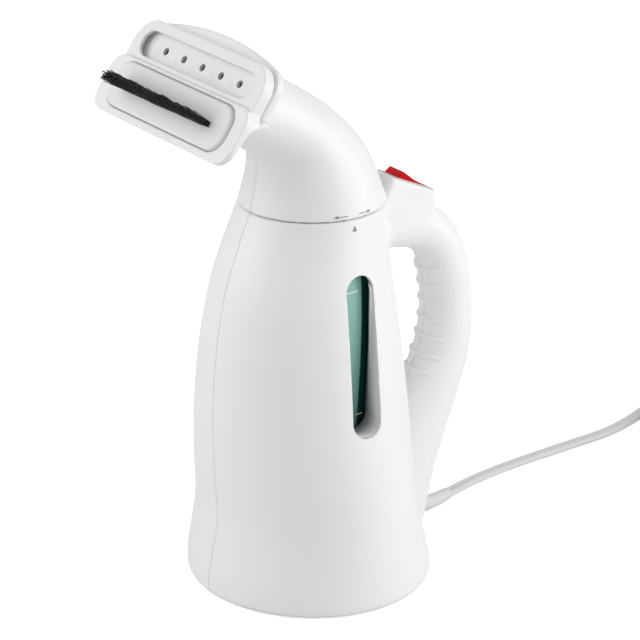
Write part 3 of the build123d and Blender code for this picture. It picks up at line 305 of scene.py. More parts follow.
turn = np.linspace(0, 2 * math.pi, 128, endpoint=False)
base_round = 4.0
body_places = np.concatenate([np.linspace(0, 0.23, 14), np.linspace(0.3, 8, 110)])
body_rings = []
for place in body_places:
    height, half_width, half_depth, centre = between(body_sections, place)
    inset = base_round - math.sqrt(max(0, base_round**2 - max(0, base_round - height) ** 2))
    body_rings.append(np.stack([
        (half_width - inset) * np.cos(turn),
        centre + (half_depth - inset) * np.sin(turn),
        np.full(turn.size, height)], 1))
handle_rings = []
for place in np.linspace(0, 10, 121):
    centre_y, centre_z, lean, half_depth, half_width = between(handle_sections, place)
    reach = half_depth * np.cos(turn)
    handle_rings.append(np.stack([
        half_width * np.sin(turn),
        centre_y + reach * math.sin(math.radians(lean)),
        centre_z + reach * math.cos(math.radians(lean))], 1))
body_form = new_piece("body_form", *skin_rings(body_rings))
handle_form = new_piece("handle_form", *skin_rings(handle_rings))

# Switch pedestal: a squared block that rises from the handle's shoulder, moulded with each half.
# Its front stands out in a brow and its rear spreads to a heel below.
switch_slope = math.radians(24.0)
switch_spot = np.array((0, 53.0, 179.7))
switch_up = np.array((0, math.sin(switch_slope), math.cos(switch_slope)))
switch_back = np.array((0, math.cos(switch_slope), -math.sin(switch_slope)))
pedestal_half = (9.0, 12.25)
pedestal_corner = 3.0
pedestal_draft = math.radians(5)
pedestal_depths = (-17, 0.9)
pedestal_brow = 2.6
pedestal_heel = 6.5
pedestal_heel_drop = 13.0


def switch_point(across, back, depth):
    """Point on the switch's sloping plane, in millimetres."""
    return switch_spot + np.array((1, 0, 0)) * across + switch_back * back + switch_up * depth


def switch_block(name, low, high, depths):
    """Square block on the switch's plane, between two corners and two depths."""
    corners = [(low[0], low[1]), (high[0], low[1]), (high[0], high[1]), (low[0], high[1])]
    rings = [np.array([switch_point(x, y, depth) for x, y in corners]) for depth in depths]
    return new_piece(name, *skin_rings(rings))


pedestal_rings = []
for depth in np.linspace(*pedestal_depths, 9):
    grow = 1 - depth * math.tan(pedestal_draft) / pedestal_half[0]
    flat_x, flat_y = (half * grow - pedestal_corner for half in pedestal_half)
    heel = pedestal_heel * min(1.0, max(0.0, -depth / pedestal_heel_drop))
    pedestal_ring = []
    for a in turn:
        spread = heel if np.sin(a) > 0 else -pedestal_brow
        pedestal_ring.append(switch_point(
            flat_x * np.sign(np.cos(a)) + pedestal_corner * np.cos(a),
            flat_y * np.sign(np.sin(a)) + pedestal_corner * np.sin(a) + spread,
            depth))
    pedestal_rings.append(np.array(pedestal_ring))
pedestal_form = new_piece("pedestal_form", *skin_rings(pedestal_rings))

# Grip ribs: seven low ridges moulded across the inner side of the grip, for the fingers.
# One arc is drawn once, then set at each place along the grip with its own turn and size.
# White ABS from a satin mould: bright, with a broad soft highlight and no visible grain.
white_abs = moulded(
    "white_moulded_abs", "#F3F3F3", "#F0F0F0", grain=0.7 * mm, rough=(0.34, 0.42), relief=0.02)
rib_places = (3.6, 4.27, 4.8, 5.3, 5.8, 6.35, 6.88)  # along the handle's sections
rib_start, rib_sweep = math.radians(125), math.radians(110)
rib_radius = 1.2 * mm
rib_sink = 0.1  # mm that the rib's middle lies under the grip's skin


def settle(piece):
    """Turns a piece's modifiers into a plain mesh."""
    bpy.context.view_layer.update()
    mesh = bpy.data.meshes.new_from_object(piece.evaluated_get(bpy.context.evaluated_depsgraph_get()))
    piece.modifiers.clear()
    piece.data = mesh
    return piece


rib_tree = bpy.data.node_groups.new("grip_ribs", "GeometryNodeTree")
rib_tree.interface.new_socket("Geometry", in_out="OUTPUT", socket_type="NodeSocketGeometry")
rib_tree.interface.new_socket("Geometry", in_out="INPUT", socket_type="NodeSocketGeometry")
rib_thickness = rib_tree.interface.new_socket("Rib thickness", in_out="INPUT", socket_type="NodeSocketFloat")
rib_finish = rib_tree.interface.new_socket("Material", in_out="INPUT", socket_type="NodeSocketMaterial")
rib_in = add_node(rib_tree, "NodeGroupInput")
rib_arc = add_node(rib_tree, "GeometryNodeCurveArc", {"mode": "RADIUS"}, {
    "Resolution": 33, "Radius": 1.0, "Start Angle": rib_start, "Sweep Angle": rib_sweep})
rib_turns, rib_sizes = (
    add_node(rib_tree, "GeometryNodeInputNamedAttribute", {"data_type": "FLOAT_VECTOR"}, {"Name": label})
    for label in ("rib_turn", "rib_size"))
rib_set = add_node(rib_tree, "GeometryNodeInstanceOnPoints", None, {
    "Points": rib_in.outputs[0], "Instance": rib_arc.outputs[0],
    "Rotation": rib_turns.outputs[0], "Scale": rib_sizes.outputs[0]})
rib_real = add_node(rib_tree, "GeometryNodeRealizeInstances", None, {"Geometry": rib_set.outputs[0]})
rib_round = add_node(rib_tree, "GeometryNodeCurvePrimitiveCircle", {"mode": "RADIUS"}, {
    "Resolution": 12, "Radius": rib_in.outputs[1]})
rib_solid = add_node(rib_tree, "GeometryNodeCurveToMesh", None, {
    "Curve": rib_real.outputs[0], "Profile Curve": rib_round.outputs[0], "Fill Caps": True})
rib_painted = add_node(rib_tree, "GeometryNodeSetMaterial", None, {
    "Geometry": rib_solid.outputs[0], "Material": rib_in.outputs[2]})
add_node(rib_tree, "NodeGroupOutput", None, {0: rib_painted.outputs[0]})

rib_rows = [between(handle_sections, place) for place in rib_places]
rib_seed = new_piece("grip_ribs", [(0, row[0] * mm, row[1] * mm) for row in rib_rows], [])
turn_attribute = rib_seed.data.attributes.new("rib_turn", "FLOAT_VECTOR", "POINT")
size_attribute = rib_seed.data.attributes.new("rib_size", "FLOAT_VECTOR", "POINT")
for number, row in enumerate(rib_rows):
    lean, half_depth, half_width = row[2:]
    lean_sin, lean_cos = math.sin(math.radians(lean)), math.cos(math.radians(lean))
    rib_frame = Matrix(((0, 1, 0), (lean_sin, 0, lean_cos), (lean_cos, 0, -lean_sin)))
    turn_attribute.data[number].vector = rib_frame.to_euler()
    size_attribute.data[number].vector = ((half_depth - rib_sink) * mm, (half_width - rib_sink) * mm, 1)
rib_modifier = rib_seed.modifiers.new("ribs", "NODES")
rib_modifier.node_group = rib_tree
rib_modifier[rib_thickness.identifier] = rib_radius
rib_modifier[rib_finish.identifier] = white_abs
settle(rib_seed)
dress(rib_seed, white_abs, "base", "white_abs")

# Skin of the body: body, handle and pedestal as one moulding, its inner corners eased into soft hollows.
# It is cut into two halves on the middle plane, each with its own wall.
body_voxel = 0.9 * mm
handle_hollow = 13 * mm
pedestal_hollow = 9 * mm
hollow_top = 173.7 * mm  # the rim at the neck and the top of the pedestal stay crisp
switch_clear = 5 * mm
body_wall = 2.4 * mm
seam_depth = 0.12 * mm
seam_half = 0.06 * mm
collar_y = 1.6
neck_level, neck_bore = 180.3, 31.4
base_level, base_bore, base_y = 0.6, (49.8, 48.2), -0.2


def fuse(name, parts, voxel, passes):
    """One closed skin over several overlapping forms, a little smoothed."""
    work = bmesh.new()
    for part in parts:
        work.from_mesh(part.data)
    mesh = bpy.data.meshes.new(name)
    work.to_mesh(mesh)
    work.free()
    piece = bpy.data.objects.new(name, mesh)
    scene.collection.objects.link(piece)
    remesh = piece.modifiers.new("skin", "REMESH")
    remesh.mode = "VOXEL"
    remesh.voxel_size = voxel
    remesh.use_smooth_shade = True
    relax = piece.modifiers.new("relax", "SMOOTH")
    relax.factor = 0.5
    relax.iterations = passes
    return settle(piece)


body_skin = fuse("body_skin", [body_form, handle_form, pedestal_form], body_voxel, passes=4)
near_body, near_handle, near_pedestal = (
    BVHTree.FromObject(form, bpy.context.evaluated_depsgraph_get()).find_nearest
    for form in (body_form, handle_form, pedestal_form))
hollow = body_skin.vertex_groups.new(name="hollow")
for vertex in body_skin.data.vertices:
    handle_away = near_handle(vertex.co)[3]
    share = max(0.0, 1 - max(near_body(vertex.co)[3], handle_away) / handle_hollow)
    above_switch = (vertex.co - Vector(switch_spot * mm)).dot(Vector(switch_up))
    if above_switch < -switch_clear:
        share = max(share, 1 - max(near_pedestal(vertex.co)[3], handle_away) / pedestal_hollow)
    if share > 0 and vertex.co.z < hollow_top:
        hollow.add([vertex.index], share * share * (3 - 2 * share), "REPLACE")
ease = body_skin.modifiers.new("hollow", "SMOOTH")
ease.factor = 0.6
ease.iterations = 70
ease.vertex_group = "hollow"
settle(body_skin)
for form in (body_form, handle_form, pedestal_form):
    bpy.data.objects.remove(form)


def half_shell(source, name, side, openings, wall):
    """One half of a moulded skin: cut on the middle plane, opened at its ends and given its wall."""
    work = bmesh.new()
    work.from_mesh(source.data)
    everything = work.verts[:] + work.edges[:] + work.faces[:]
    bmesh.ops.bisect_plane(
        work, geom=everything, dist=1e-6, plane_co=(0, 0, 0), plane_no=(-side, 0, 0), clear_outer=True)
    gone = [face for face in work.faces if any(test(face.calc_center_median() / mm) for test in openings)]
    bmesh.ops.delete(work, geom=gone, context="FACES")
    for vertex in work.verts:
        if abs(vertex.co.x) < 2e-6:
            vertex.co -= vertex.normal * seam_depth
            vertex.co.x = side * seam_half
    mesh = bpy.data.meshes.new(name)
    work.to_mesh(mesh)
    work.free()
    piece = bpy.data.objects.new(name, mesh)
    scene.collection.objects.link(piece)
    for polygon in mesh.polygons:
        polygon.use_smooth = True
    solid = piece.modifiers.new("wall", "SOLIDIFY")
    solid.thickness = wall
    solid.offset = -1
    return settle(piece)


def carve(piece, tool, operation="DIFFERENCE"):
    """Cuts a tool form out of a piece, or keeps only what they share."""
    cut = piece.modifiers.new("cut", "BOOLEAN")
    cut.operation = operation
    cut.object = tool
    cut.solver = "MANIFOLD"
    return settle(piece)


def neck_opening(spot):
    """Faces that close the top of the body, inside its rim."""
    return spot.z > neck_level and math.hypot(spot.x, spot.y - collar_y) < neck_bore


def base_opening(spot):
    """Faces that close the underside, where the base cover sits."""
    across, deep = base_bore
    return spot.z < base_level and (spot.x / across) ** 2 + ((spot.y - base_y) / deep) ** 2 < 1


switch_cut_half = (7.95, 11.85)
switch_cut = switch_block("switch_cut", (-switch_cut_half[0], -switch_cut_half[1]), switch_cut_half, (-13, 3))
cord_hole_radius = 4.35
cord_hole_height = 14.7
cord_cut = new_piece("cord_cut", *skin_rings([
    np.stack([
        cord_hole_radius * np.cos(turn[::4]),
        np.full(32, y),
        cord_hole_height + cord_hole_radius * np.sin(turn[::4])], 1)
    for y in (50.0, 84.0)]))

# Level window: a slot with round ends through the right half, with a sleeve moulded in to the tank.
# It leans a little with the body, and its sleeve tapers towards the tank.
window_centre = np.array((0, -1.3, 120.2))
window_lean = math.radians(3.2)
window_up = np.array((0, math.sin(window_lean), math.cos(window_lean)))
window_side = np.array((0, math.cos(window_lean), -math.sin(window_lean)))
window_size = (15.6, 73)
sleeve_size = (18.6, 76)
window_reach = (30, 70)  # from the tank out past the wall
sleeve_reach = (37.6, 60)
sleeve_drafts = [(34, 3.8), (40, 0.4), (64, 0.0)]  # depth, and how far the rear wall is drawn in there
sleeve_share = 0.972  # of the body's width, where the sleeve stops inside the wall


def slot_ring(x, size, draft=0.0):
    """Outline of the slot at one depth, in millimetres; a draft draws in its rear wall at the top."""
    width, length = size
    ring = []
    for a in turn:
        across = width / 2 * math.cos(a)
        along = width / 2 * math.sin(a) + math.copysign((length - width) / 2, math.sin(a))
        across -= draft * (along / length + 0.5) * (across / width + 0.5)
        ring.append(window_centre + window_side * across + window_up * along + np.array((x, 0, 0)))
    return np.array(ring)


window_cut = new_piece("window_cut", *skin_rings([slot_ring(x, window_size) for x in window_reach]))
sleeve = new_piece("window_sleeve", *skin_rings([slot_ring(x, sleeve_size) for x in sleeve_reach]))

for side_name, side in (("right", 1), ("left", -1)):
    half = half_shell(body_skin, "body_half_" + side_name, side, [neck_opening, base_opening], body_wall)
    carve(half, switch_cut)
    carve(half, cord_cut)
    if side == 1:
        carve(half, window_cut)
    dress(half, white_abs, "base", "white_abs", "body_shell_" + side_name)

# Sleeve of the level window: a thin white wall from the slot's edge in to the tank.
# The same ABS with painted shade: darker with depth, because little light comes back out of the narrow slot.
sleeve_wall = new_piece("sleeve_wall", *skin_rings([
    slot_ring(x, window_size, draft) for x, draft in sleeve_drafts]))
sleeve_limit = new_piece("sleeve_limit", *skin_rings([ring * (sleeve_share, 1, 1) for ring in body_rings]))
carve(sleeve, sleeve_limit, "INTERSECT")
carve(sleeve, sleeve_wall)
sleeve_tilt = 0.178  # the body's wall leans in by this share of its height
sleeve_dark, sleeve_light = 54 * mm, 66 * mm
sleeve_abs, sleeve_tree, sleeve_out = new_material("white_abs_sleeve_painted_shade")
sleeve_spot = add_node(sleeve_tree, "ShaderNodeTexCoord")
sleeve_place = add_node(sleeve_tree, "ShaderNodeSeparateXYZ", None, {"Vector": sleeve_spot.outputs["Object"]})
sleeve_drop = add_node(sleeve_tree, "ShaderNodeMath", {"operation": "MULTIPLY_ADD"}, {
    0: sleeve_place.outputs["Z"], 1: sleeve_tilt, 2: sleeve_place.outputs["X"]})
# Painted shade mask: 1 deep in the slot, 0 at its mouth.
sleeve_depth = add_node(sleeve_tree, "ShaderNodeMapRange", {"interpolation_type": "SMOOTHSTEP"}, {
    0: sleeve_drop.outputs[0], 1: sleeve_dark, 2: sleeve_light, 3: 1.0, 4: 0.0})
sleeve_painted_shade = add_node(sleeve_tree, "ShaderNodeMix", {"data_type": "RGBA"}, {
    0: sleeve_depth.outputs[0], 6: linear("#F1F1F1"), 7: linear("#8B8D8D")})
sleeve_surface = add_node(sleeve_tree, "ShaderNodeBsdfPrincipled", None, {
    "Base Color": sleeve_painted_shade.outputs[2], "Roughness": 0.4})
sleeve_tree.links.new(sleeve_surface.outputs[0], sleeve_out.inputs["Surface"])
dress(sleeve, sleeve_abs, "base", "white_abs")
for tool in (switch_cut, cord_cut, window_cut, sleeve_wall, sleeve_limit, body_skin):
    bpy.data.objects.remove(tool)

# Water tank: a bottle blown in clear green-tinted plastic, seen through the level window.
# Clear SAN: a sharp gloss, deep green where the light has far to go.
# A painted highlight: the wall is painted pale in a wedge down its front, fading lower down, where it is lit
# from behind.
tank_cloud_size = 30 * mm
tank_edge_lean = -0.066
tank_pale_edge, tank_deep_edge = -4.7 * mm, -4.1 * mm
tank_low, tank_top = 80 * mm, 150 * mm
tank_plastic, tank_nodes, tank_out = new_material("tinted_clear_san")
tank_spot = add_node(tank_nodes, "ShaderNodeTexCoord")
tank_cloud = add_node(tank_nodes, "ShaderNodeTexNoise", None, {
    "Vector": tank_spot.outputs["Object"], "Scale": 1 / tank_cloud_size, "Detail": 2.0})
tank_place = add_node(tank_nodes, "ShaderNodeSeparateXYZ", None, {"Vector": tank_spot.outputs["Object"]})
tank_lean = add_node(tank_nodes, "ShaderNodeMath", {"operation": "MULTIPLY_ADD"}, {
    0: tank_place.outputs["Z"], 1: tank_edge_lean, 2: tank_place.outputs["Y"]})
# Painted highlight mask: 1 in the pale wedge at the front of the wall, 0 behind its edge.
tank_lit_wedge = add_node(tank_nodes, "ShaderNodeMapRange", None, {
    0: tank_lean.outputs[0], 1: tank_pale_edge, 2: tank_deep_edge, 3: 1.0, 4: 0.0})
tank_high = add_node(tank_nodes, "ShaderNodeMapRange", None, {
    0: tank_place.outputs["Z"], 1: tank_low, 2: tank_top, 3: 0.6, 4: 1.0})
tank_painted_light = add_node(tank_nodes, "ShaderNodeMath", {"operation": "MULTIPLY"}, {
    0: tank_lit_wedge.outputs[0], 1: tank_high.outputs[0]})
tank_deep = add_node(tank_nodes, "ShaderNodeMix", {"data_type": "RGBA"}, {
    0: tank_cloud.outputs["Fac"], 6: linear("#155049"), 7: linear("#114640")})
tank_tone = add_node(tank_nodes, "ShaderNodeMix", {"data_type": "RGBA"}, {
    0: tank_painted_light.outputs[0], 6: tank_deep.outputs[2], 7: linear("#9CCFC6")})
tank_surface = add_node(tank_nodes, "ShaderNodeBsdfPrincipled", None, {
    "Base Color": tank_tone.outputs[2], "Roughness": 0.06, "IOR": 1.5, "Transmission Weight": 0.15})
tank_nodes.links.new(tank_surface.outputs[0], tank_out.inputs["Surface"])


def merged_copy(name, node):
    """Copy of one solid with its loose triangles joined and its curved faces smooth."""
    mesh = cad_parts[node].data.copy()
    work = bmesh.new()
    work.from_mesh(mesh)
    bmesh.ops.remove_doubles(work, verts=work.verts, dist=1e-6)
    for face in work.faces:
        face.smooth = True
    for edge in work.edges:
        if len(edge.link_faces) == 2 and edge.calc_face_angle(0) > math.radians(32):
            edge.smooth = False
    work.to_mesh(mesh)
    work.free()
    piece = bpy.data.objects.new(name, mesh)
    scene.collection.objects.link(piece)
    return piece


tank = merged_copy("tank_bottle", "water_tank")
dress(tank, tank_plastic, "base", "tinted_tank", "water_tank")

# Spout: two white ABS halves of a bent neck, welded on the middle plane.
# Rows: y, z, lean, half depth, half width.
spout_sections = [
    (1.6, 181.5, 0, 33.7, 33.7), (0.8, 192.7, 2, 30.2, 30.4), (-1.8, 203.7, 7, 26.6, 27.4),
    (-8.8, 214.7, 20, 21.6, 24.6), (-20, 223.1, 38, 18.9, 23.3), (-34.5, 232.3, 50, 18.2, 23.6),
    (-50.2, 242.6, 55, 17.7, 26.0),
]
spout_wall = 2.3 * mm
foot_level, foot_bore = 182.3, 31.2
end_level, end_depth = 217.7, 0.9
spout_rings = []
for place in np.linspace(0, 6, 121):
    centre_y, centre_z, lean, half_depth, half_width = between(spout_sections, place)
    reach = half_depth * np.sin(turn)
    spout_rings.append(np.stack([
        half_width * np.cos(turn),
        centre_y + reach * math.cos(math.radians(lean)),
        centre_z + reach * math.sin(math.radians(lean))], 1))
spout_form = new_piece("spout_form", *skin_rings(spout_rings))
spout_skin = fuse("spout_skin", [spout_form], body_voxel, passes=6)
bpy.data.objects.remove(spout_form)


def spout_foot(spot):
    """Faces that close the foot of the spout, inside its rim."""
    return spot.z < foot_level and math.hypot(spot.x, spot.y - collar_y) < foot_bore


def spout_end(spot):
    """Faces that close the upper end, where the steam head sits."""
    end_y, end_z, end_lean = spout_sections[-1][:3]
    lean_sin, lean_cos = math.sin(math.radians(end_lean)), math.cos(math.radians(end_lean))
    ahead = (spot.z - end_z) * lean_cos - (spot.y - end_y) * lean_sin
    return ahead > -end_depth and spot.z > end_level


for side_name, side in (("right", 1), ("left", -1)):
    half = half_shell(spout_skin, "spout_half_" + side_name, side, [spout_foot, spout_end], spout_wall)
    dress(half, white_abs, "spout", "white_abs", "spout_shell_" + side_name)
bpy.data.objects.remove(spout_skin)

# Marks: grey ink arrows for the twist lock on the spout's foot, a pointer on the body, lines on the tank.
# Each mark is a thin printed film that follows the round of the part under it.
# Pad-printed ink: flat and matt.
mark_ink = moulded(
    "grey_pad_print_ink", "#8E9092", "#85878A", grain=0.4 * mm, rough=(0.5, 0.6), relief=0.02)
level_ink = moulded(
    "white_pad_print_ink", "#E9EFEE", "#DFE7E5", grain=0.4 * mm, rough=(0.5, 0.6), relief=0.02)
film_lift = 0.12
arrow_head_span = 4.2  # degrees
arrow_head_half = 0.75
arrow_shaft_half = 0.17
arrow_height = 183.4
level_half = 0.3


def printed(name, outlines, rows, body, ink):
    """Films of ink: outlines of angle and height, wrapped on a part whose radius the rows give."""
    verts, faces = [], []
    heights, radii, centres = zip(*rows)
    for outline in outlines:
        faces.append(tuple(range(len(verts), len(verts) + len(outline))))
        for angle, height in outline:
            reach = np.interp(height, heights, radii) + film_lift
            y = np.interp(height, heights, centres) + reach * math.sin(math.radians(angle))
            verts.append((reach * math.cos(math.radians(angle)) * mm, y * mm, height * mm))
    film = new_piece(name, verts, faces, smooth=False)
    return dress(film, ink, body, "grey_abs")


def stripe(start, end, height, half, pieces):
    """Outlines of a level stripe between two angles, in short pieces that follow the round."""
    steps = np.linspace(start, end, pieces + 1)
    return [
        [(a, height - half), (b, height - half), (b, height + half), (a, height + half)]
        for a, b in zip(steps, steps[1:])]


def arrow(tail, tip, height):
    """Outlines of a thin arrow between two angles at one height."""
    head = tip + math.copysign(arrow_head_span, tail - tip)
    point = [(head, height - arrow_head_half), (tip, height), (head, height + arrow_head_half)]
    return stripe(tail, head, height, arrow_shaft_half, 6) + [point]


spout_rows = [(row[1], row[4], row[0]) for row in spout_sections[:3]]
body_rows = [(row[0], row[1], row[3]) for row in body_sections[-3:]]
tank_rows = [(30.0, 37.2, -2.2), (142.7, 35.2, -2.2), (164.7, 31.8, -2.2)]
lock_arrows = arrow(-5.4, -17.8, arrow_height) + arrow(4.6, 17.3, arrow_height)
printed("lock_arrows", lock_arrows, spout_rows, "spout", mark_ink)
printed("lock_pointer", [[(-1.9, 176.3), (1.9, 176.3), (0, 178.9)]], body_rows, "base", mark_ink)
level_lines = stripe(-2.4, 9.0, 147.7, level_half, 5) + stripe(4.3, 10.6, 89.2, level_half, 5)
printed("level_lines", level_lines, tank_rows, "base", level_ink)


# Steam head: a shallow white ABS cup clipped to the neck, closed by a plate with five steam holes.
# A shallow dimple is moulded in the plate beside each hole.
def soft_copy(name, node, voxel, passes):
    """Copy of a solid with the small edge rounds that a mould leaves."""
    return fuse(name, [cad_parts[node]], voxel, passes)


head = soft_copy("steam_head_cup", "steam_head", voxel=0.7 * mm, passes=6)
dress(head, white_abs, "spout", "white_abs", "steam_head")
face_spot = np.array((0, -59.5, 253.7))
face_lean = math.radians(55)
face_up = np.array((0, math.cos(face_lean), math.sin(face_lean)))
face_out = np.array((0, -math.sin(face_lean), math.cos(face_lean)))
hole_pitch = 14.7
dimple_shift = -3.3
dimple_drop = -1.0
dimple_depth = -2.7
dimple_radius = 1.9


def face_point(across, up, out):
    """Point on the head's sloping face, in millimetres."""
    return face_spot + np.array((1, 0, 0)) * across + face_up * up + face_out * out


plate = merged_copy("steam_hole_plate", "steam_plate")
dimple_verts, dimple_faces = [], []
for number in range(5):
    middle = hole_pitch * (number - 2) + dimple_shift
    rings = []
    for tilt in np.radians(np.arange(-80, 81, 20)):
        ring_radius, ring_out = dimple_radius * math.cos(tilt), dimple_radius * math.sin(tilt)
        rings.append(np.array([
            face_point(
                middle + ring_radius * np.cos(a),
                dimple_drop + ring_radius * np.sin(a),
                dimple_depth + ring_out)
            for a in turn[::8]]))
    ball, ball_faces = skin_rings(rings)
    dimple_faces += [tuple(k + len(dimple_verts) for k in face) for face in ball_faces]
    dimple_verts += list(ball)
dimples = new_piece("dimples", dimple_verts, dimple_faces)
carve(plate, dimples)
bpy.data.objects.remove(dimples)
dress(plate, white_abs, "spout", "white_abs", "steam_plate")

# Brush: a white ABS frame that clips over the head, with a smooth pad pressed into it.
# The pad is closed under the bristles. Its matt mould finish looks a little duller than the frame.
brush = soft_copy("brush_clip_frame", "brush_frame", voxel=0.5 * mm, passes=8)
dress(brush, white_abs, "brush", "white_abs", "brush_frame")
pad_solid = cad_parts["brush_pad"]
pad_top = max((np.array(vertex.co) / mm - face_spot) @ face_out for vertex in pad_solid.data.vertices)
slot_corners = [(-35.2, -23.3), (35.2, -23.3), (35.2, -17.7), (-35.2, -17.7)]
slot_fill = new_piece("pad_slot_fill", *skin_rings([
    np.array([face_point(x, up, out) for x, up in slot_corners]) for out in (-0.2, pad_top)]))
pad = fuse("brush_pad_insert", [pad_solid, slot_fill], voxel=0.45 * mm, passes=5)
bpy.data.objects.remove(slot_fill)
pad_abs = moulded(
    "white_matt_abs", "#EFEFF0", "#EAEBEC", grain=0.5 * mm, rough=(0.45, 0.55), relief=0.05)
dress(pad, pad_abs, "brush", "soft_white_pad", "brush_pad")

# Bristles: black nylon strands set close together in one strip, ragged at their tips.
# Each strand is one rod, set on a random point of the strip and leaned a little outwards.
# Drawn nylon: near black, with a dull sheen along the strands.
black_nylon = moulded(
    "black_drawn_nylon", "#141414", "#0C0C0C", grain=0.6 * mm, rough=(0.4, 0.55), relief=0.04)
strip_corners = [(-36, -22.4), (34.4, -21.8), (34.4, -19.2), (-36, -18.6)]
strip_sink = 0.4
strand_density = 8.5e6
strand_length = 12.5 * mm
strand_radius = 0.17 * mm
tuft_tree = bpy.data.node_groups.new("bristle_tuft", "GeometryNodeTree")
tuft_tree.interface.new_socket("Geometry", in_out="OUTPUT", socket_type="NodeSocketGeometry")
tuft_tree.interface.new_socket("Geometry", in_out="INPUT", socket_type="NodeSocketGeometry")
tuft_density, tuft_length, tuft_radius = (
    tuft_tree.interface.new_socket(label, in_out="INPUT", socket_type="NodeSocketFloat")
    for label in ("Strands per square metre", "Strand length", "Strand radius"))
tuft_material = tuft_tree.interface.new_socket("Material", in_out="INPUT", socket_type="NodeSocketMaterial")
tuft_in = add_node(tuft_tree, "NodeGroupInput")
tuft_roots = add_node(tuft_tree, "GeometryNodeDistributePointsOnFaces", {"distribute_method": "RANDOM"}, {
    "Mesh": tuft_in.outputs[0], "Density": tuft_in.outputs[1], "Seed": 4})
tuft_rod = add_node(tuft_tree, "GeometryNodeMeshCone", None, {
    "Vertices": 5, "Side Segments": 2, "Radius Top": tuft_in.outputs[3], "Radius Bottom": tuft_in.outputs[3],
    "Depth": tuft_in.outputs[2]})
tuft_lean = add_node(tuft_tree, "FunctionNodeRandomValue", {"data_type": "FLOAT_VECTOR"}, {
    0: (-0.07, -0.1, -0.6), 1: (0.07, 0.1, 0.6), "Seed": 7})
tuft_turn = add_node(tuft_tree, "FunctionNodeRotateEuler", {"rotation_type": "EULER", "space": "LOCAL"}, {
    "Rotation": tuft_roots.outputs["Rotation"], "Rotate By": tuft_lean.outputs[0]})
tuft_grow = add_node(tuft_tree, "FunctionNodeRandomValue", {"data_type": "FLOAT"}, {
    2: 0.82, 3: 1.08, "Seed": 11})
tuft_size = add_node(tuft_tree, "ShaderNodeCombineXYZ", None, {"X": 1.0, "Y": 1.0, "Z": tuft_grow.outputs[1]})
tuft_set = add_node(tuft_tree, "GeometryNodeInstanceOnPoints", None, {
    "Points": tuft_roots.outputs["Points"], "Instance": tuft_rod.outputs["Mesh"],
    "Rotation": tuft_turn.outputs[0], "Scale": tuft_size.outputs[0]})
tuft_real = add_node(tuft_tree, "GeometryNodeRealizeInstances", None, {"Geometry": tuft_set.outputs[0]})
tuft_painted = add_node(tuft_tree, "GeometryNodeSetMaterial", None, {
    "Geometry": tuft_real.outputs[0], "Material": tuft_in.outputs[4]})
add_node(tuft_tree, "NodeGroupOutput", None, {0: tuft_painted.outputs[0]})
strip_verts = [face_point(x, up, pad_top - strip_sink) * mm for x, up in strip_corners]
tuft = new_piece("bristle_tuft", strip_verts, [(0, 1, 2, 3)])
if tuft.data.polygons[0].normal.dot(Vector(face_out)) < 0:
    tuft.data.flip_normals()
tuft_modifier = tuft.modifiers.new("strands", "NODES")
tuft_modifier.node_group = tuft_tree
tuft_modifier[tuft_density.identifier] = strand_density
tuft_modifier[tuft_length.identifier] = strand_length
tuft_modifier[tuft_radius.identifier] = strand_radius
tuft_modifier[tuft_material.identifier] = black_nylon
settle(tuft)
dress(tuft, black_nylon, "brush", "black_nylon", "brush_bristles")

# Rocker switch: a grey nylon housing pressed into the pedestal, with a raised rim round a red rocker.
# Moulded nylon looks satin and slightly waxy; the red acrylic is glossy and deep in colour.
bezel_nylon = moulded(
    "grey_moulded_nylon", "#C9CBCE", "#BFC2C6", grain=0.5 * mm, rough=(0.4, 0.5), relief=0.04)
red_acrylic = moulded(
    "red_moulded_acrylic", "#DC000C", "#CC000A", grain=0.5 * mm, rough=(0.22, 0.3), relief=0.01,
    **{"Specular IOR Level": 0.12})
rim_x, rim_y = 7.8, 11.6
well_x, well_y = 6.1, 10.0
rim_depths = (-2.0, 1.3)
rim_bars = [
    switch_block("bezel_bar", low, high, rim_depths)
    for low, high in (
        ((-rim_x, -rim_y), (-well_x, rim_y)),
        ((well_x, -rim_y), (rim_x, rim_y)),
        ((-rim_x, -rim_y), (rim_x, -well_y)),
        ((-rim_x, well_y), (rim_x, rim_y)),
    )]
housing = fuse("switch_bezel", [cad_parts["switch_housing"]] + rim_bars, voxel=0.28 * mm, passes=3)
for bar in rim_bars:
    bpy.data.objects.remove(bar)
dress(housing, bezel_nylon, "base", "grey_abs", "switch_housing")
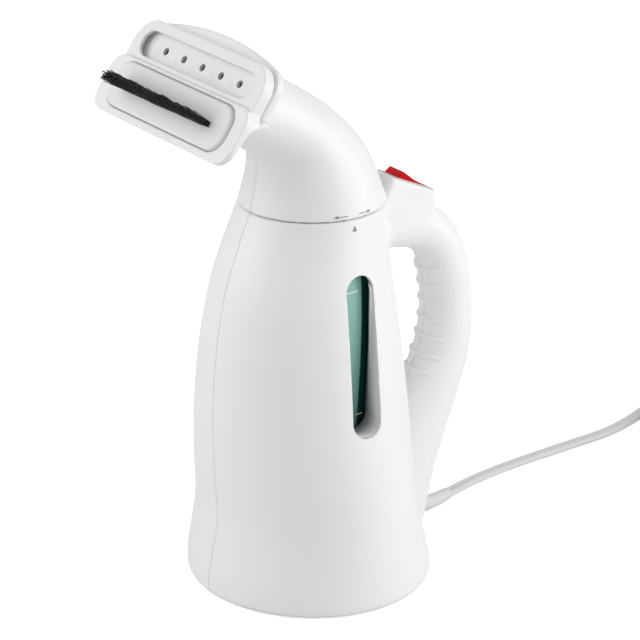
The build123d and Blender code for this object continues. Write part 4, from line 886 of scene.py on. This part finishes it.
rocker = soft_copy("switch_rocker_cap", "rocker", voxel=0.22 * mm, passes=3)
dress(rocker, red_acrylic, "switch_rocker", "red_rocker", "rocker")

# Everything inside, under the base and at the far end of the cord keeps its solid and gets its own finish.
# Rubbers and PVC are dull, cast aluminium is grainy and grey, and the rolled and plated metals shine.
silicone = moulded(
    "cream_moulded_silicone", "#D9D6CC", "#CFCBC0", grain=0.8 * mm, rough=(0.5, 0.62), relief=0.03)
grey_rubber = moulded(
    "grey_moulded_rubber", "#A9ABAD", "#9C9EA0", grain=0.8 * mm, rough=(0.6, 0.75), relief=0.08)
lead_pvc = moulded(
    "grey_lead_pvc", "#8C8F92", "#7F8285", grain=0.8 * mm, rough=(0.4, 0.5), relief=0.04)
cast_aluminium = moulded(
    "cast_aluminium", "#C6C7C9", "#B4B5B8", grain=1.4 * mm, rough=(0.34, 0.5), relief=0.12, Metallic=1.0)
sheath_steel = moulded(
    "rolled_steel", "#A8A7A3", "#93918C", grain=0.9 * mm, rough=(0.3, 0.45), relief=0.06, Metallic=1.0)
plated_steel = moulded(
    "zinc_plated_steel", "#C9CACC", "#BBBDC0", grain=0.7 * mm, rough=(0.2, 0.32), relief=0.03, Metallic=1.0)
plated_brass = moulded(
    "nickel_plated_brass", "#C9BB93", "#BBA97A", grain=0.7 * mm, rough=(0.2, 0.32), relief=0.03, Metallic=1.0)
finishes = {
    white_abs: ["base_cover", "neck_ring", "lock_ring", "splash_baffle"],
    silicone: ["mouth_gasket", "head_seal", "heater_seal", "steam_tube"],
    grey_rubber: ["rubber_feet"],
    black_nylon: ["cord_tie"],
    lead_pvc: ["lead_feed", "lead_return"],
    cast_aluminium: ["heater_plate", "thermostat"],
    sheath_steel: ["heating_element", "clamp_ring"],
    plated_steel: ["clamp_screws", "base_screws", "thermal_fuse"],
    plated_brass: ["switch_terminals", "plug_blades"],
    cord_pvc: ["plug_body", "cord_grommet"],
}
for finish, node_names in finishes.items():
    for node_name in node_names:
        node_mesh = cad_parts[node_name].data
        node_mesh.materials.clear()
        node_mesh.materials.append(finish)
